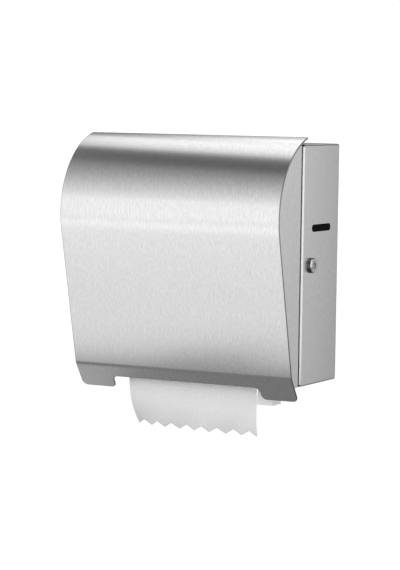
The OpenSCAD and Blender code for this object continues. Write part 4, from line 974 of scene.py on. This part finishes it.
# %% Screws and rivets
def islands(node):
    """The lowest and highest corners of each separate solid in a CAD node, in metres."""
    form = bmesh.new()
    form.from_mesh(nodes[node].data)
    bmesh.ops.remove_doubles(form, verts=form.verts, dist=DOUBLES)
    left, found = set(form.verts), []
    while left:
        group = [left.pop()]
        for vert in group:  # the group grows while it is walked through
            near = left & {v for edge in vert.link_edges for v in edge.verts}
            left -= near
            group += near
        found.append([Vector(f(v.co[i] for v in group) for i in range(3)) for f in (min, max)])
    form.free()
    return sorted(found, key=lambda pair: tuple(pair[0]))


def put_fasteners(name, template, places, axis, body, slot, finish, *replaced):
    """Copies of a turned piece on places in metres, as one piece that may stand for a CAD node."""
    piece = grown(name, [p / MM for p in places], [], setter, fastener=template, axis=axis, finish=finish)
    bpy.data.objects.remove(template)
    ride_and_slot(piece, body, slot, *replaced)


head = HEAD_H * MM
places = [Vector(((a.x + b.x) / 2, a.y + head, (a.z + b.z) / 2)) for a, b in islands("frame_screws")]
put_fasteners("pan_head_screws", frame_screw, places, (0, -1, 0),
              "body", "zinc_steel", zinc_plate, "frame_screws")
places = [Vector((b.x - head, (a.y + b.y) / 2, (a.z + b.z) / 2)) for a, b in islands("housing_screws")]
put_fasteners("ear_screws", ear_screw, places, (1, 0, 0), "body", "zinc_steel", zinc_plate, "housing_screws")
places = [Vector((a.x, (a.y + b.y) / 2, (a.z + b.z) / 2)) for a, b in islands("cover_rivets")]
put_fasteners("hinge_rivets", rivet, places, (1, 0, 0), "cover", "zinc_steel", zinc_plate, "cover_rivets")

# %% [markdown]
# ## The keyway of the lock
# The lock takes a tubular key, so its face shows a dark ring with the ends of seven small pins. The
# CAD plug already has the ring as a groove. A dark floor goes into it, a painted shade for the depth of
# the groove, and the fastener tree sets the pins on it.

# %% Pins in the keyway
KEYWAY_FLOOR, FLOOR_T, RING_IN, RING_OUT = 180.2, 0.3, 2.45, 4.15
PIN_RING, PIN_COUNT, PIN_R, PIN_H = 3.3, 7, 0.5, 0.75
floor_ring = lathe("keyway_ring", [
    (RING_IN, 0), (RING_OUT, 0), (RING_OUT, FLOOR_T), (RING_IN, FLOOR_T), (RING_IN, 0)])
seats = [Vector((KEYWAY_FLOOR, *LOCK_C)) * MM]
# The dark floor ring is painted shade for the deep groove.
put_fasteners("keyway_floor", floor_ring, seats, (1, 0, 0), "lock", "grip_rubber", grip_rubber)
tumbler = lathe("tumbler", [(0, 0), (PIN_R, 0), (PIN_R, 0.5), (0.35, 0.7), (0, PIN_H)], 12)
seats = [Vector((KEYWAY_FLOOR + FLOOR_T, *p)) * MM for p in circle(LOCK_C, PIN_RING, PIN_COUNT)]
put_fasteners("keyway_pins", tumbler, seats, (1, 0, 0), "lock", "nickel_plate", nickel_plate)

# %% [markdown]
# ## Dressing the CAD parts
# Everything else keeps its CAD solid, because plates, bearings and levers have the right shape
# already. The record says which finish each one has. Real edges are never knife sharp, so a Bevel
# modifier breaks them by a few tenths of a millimetre, after Weld has joined the loose triangles.

# %% Materials and broken edges for the CAD parts
WELD_REACH, BROKEN_EDGE = 0.002, 0.3
finishes = {
    "brushed_stainless": brushed_steel, "nickel_plate": nickel_plate, "zinc_steel": zinc_plate,
    "spring_steel": spring_wire, "smoked_lens": smoked_lens, "white_abs": white_abs,
    "grey_acetal": grey_acetal, "grip_rubber": grip_rubber, "towel_paper": rolled_paper,
    "core_board": core_card}
for part in frame["record"]["subparts"]:
    node = nodes[part["node"]]
    node.data.materials.clear()
    node.data.materials.append(finishes[part["material_slot"]])
    if node.hide_render:
        continue
    weld = node.modifiers.new("joined_triangles", "WELD")
    weld.merge_threshold = WELD_REACH * MM
    edge_bevel(node, BROKEN_EDGE * MM, angle=35)
    weigh = node.modifiers.new("flat_faces_first", "WEIGHTED_NORMAL")
    weigh.weight = 100
# The lock housing takes the nickel whose dark rim is a painted reflection.
nodes["lock_housing"].data.materials[0] = lock_nickel
print(sum(not n.hide_render for n in nodes.values()), "CAD nodes dressed")
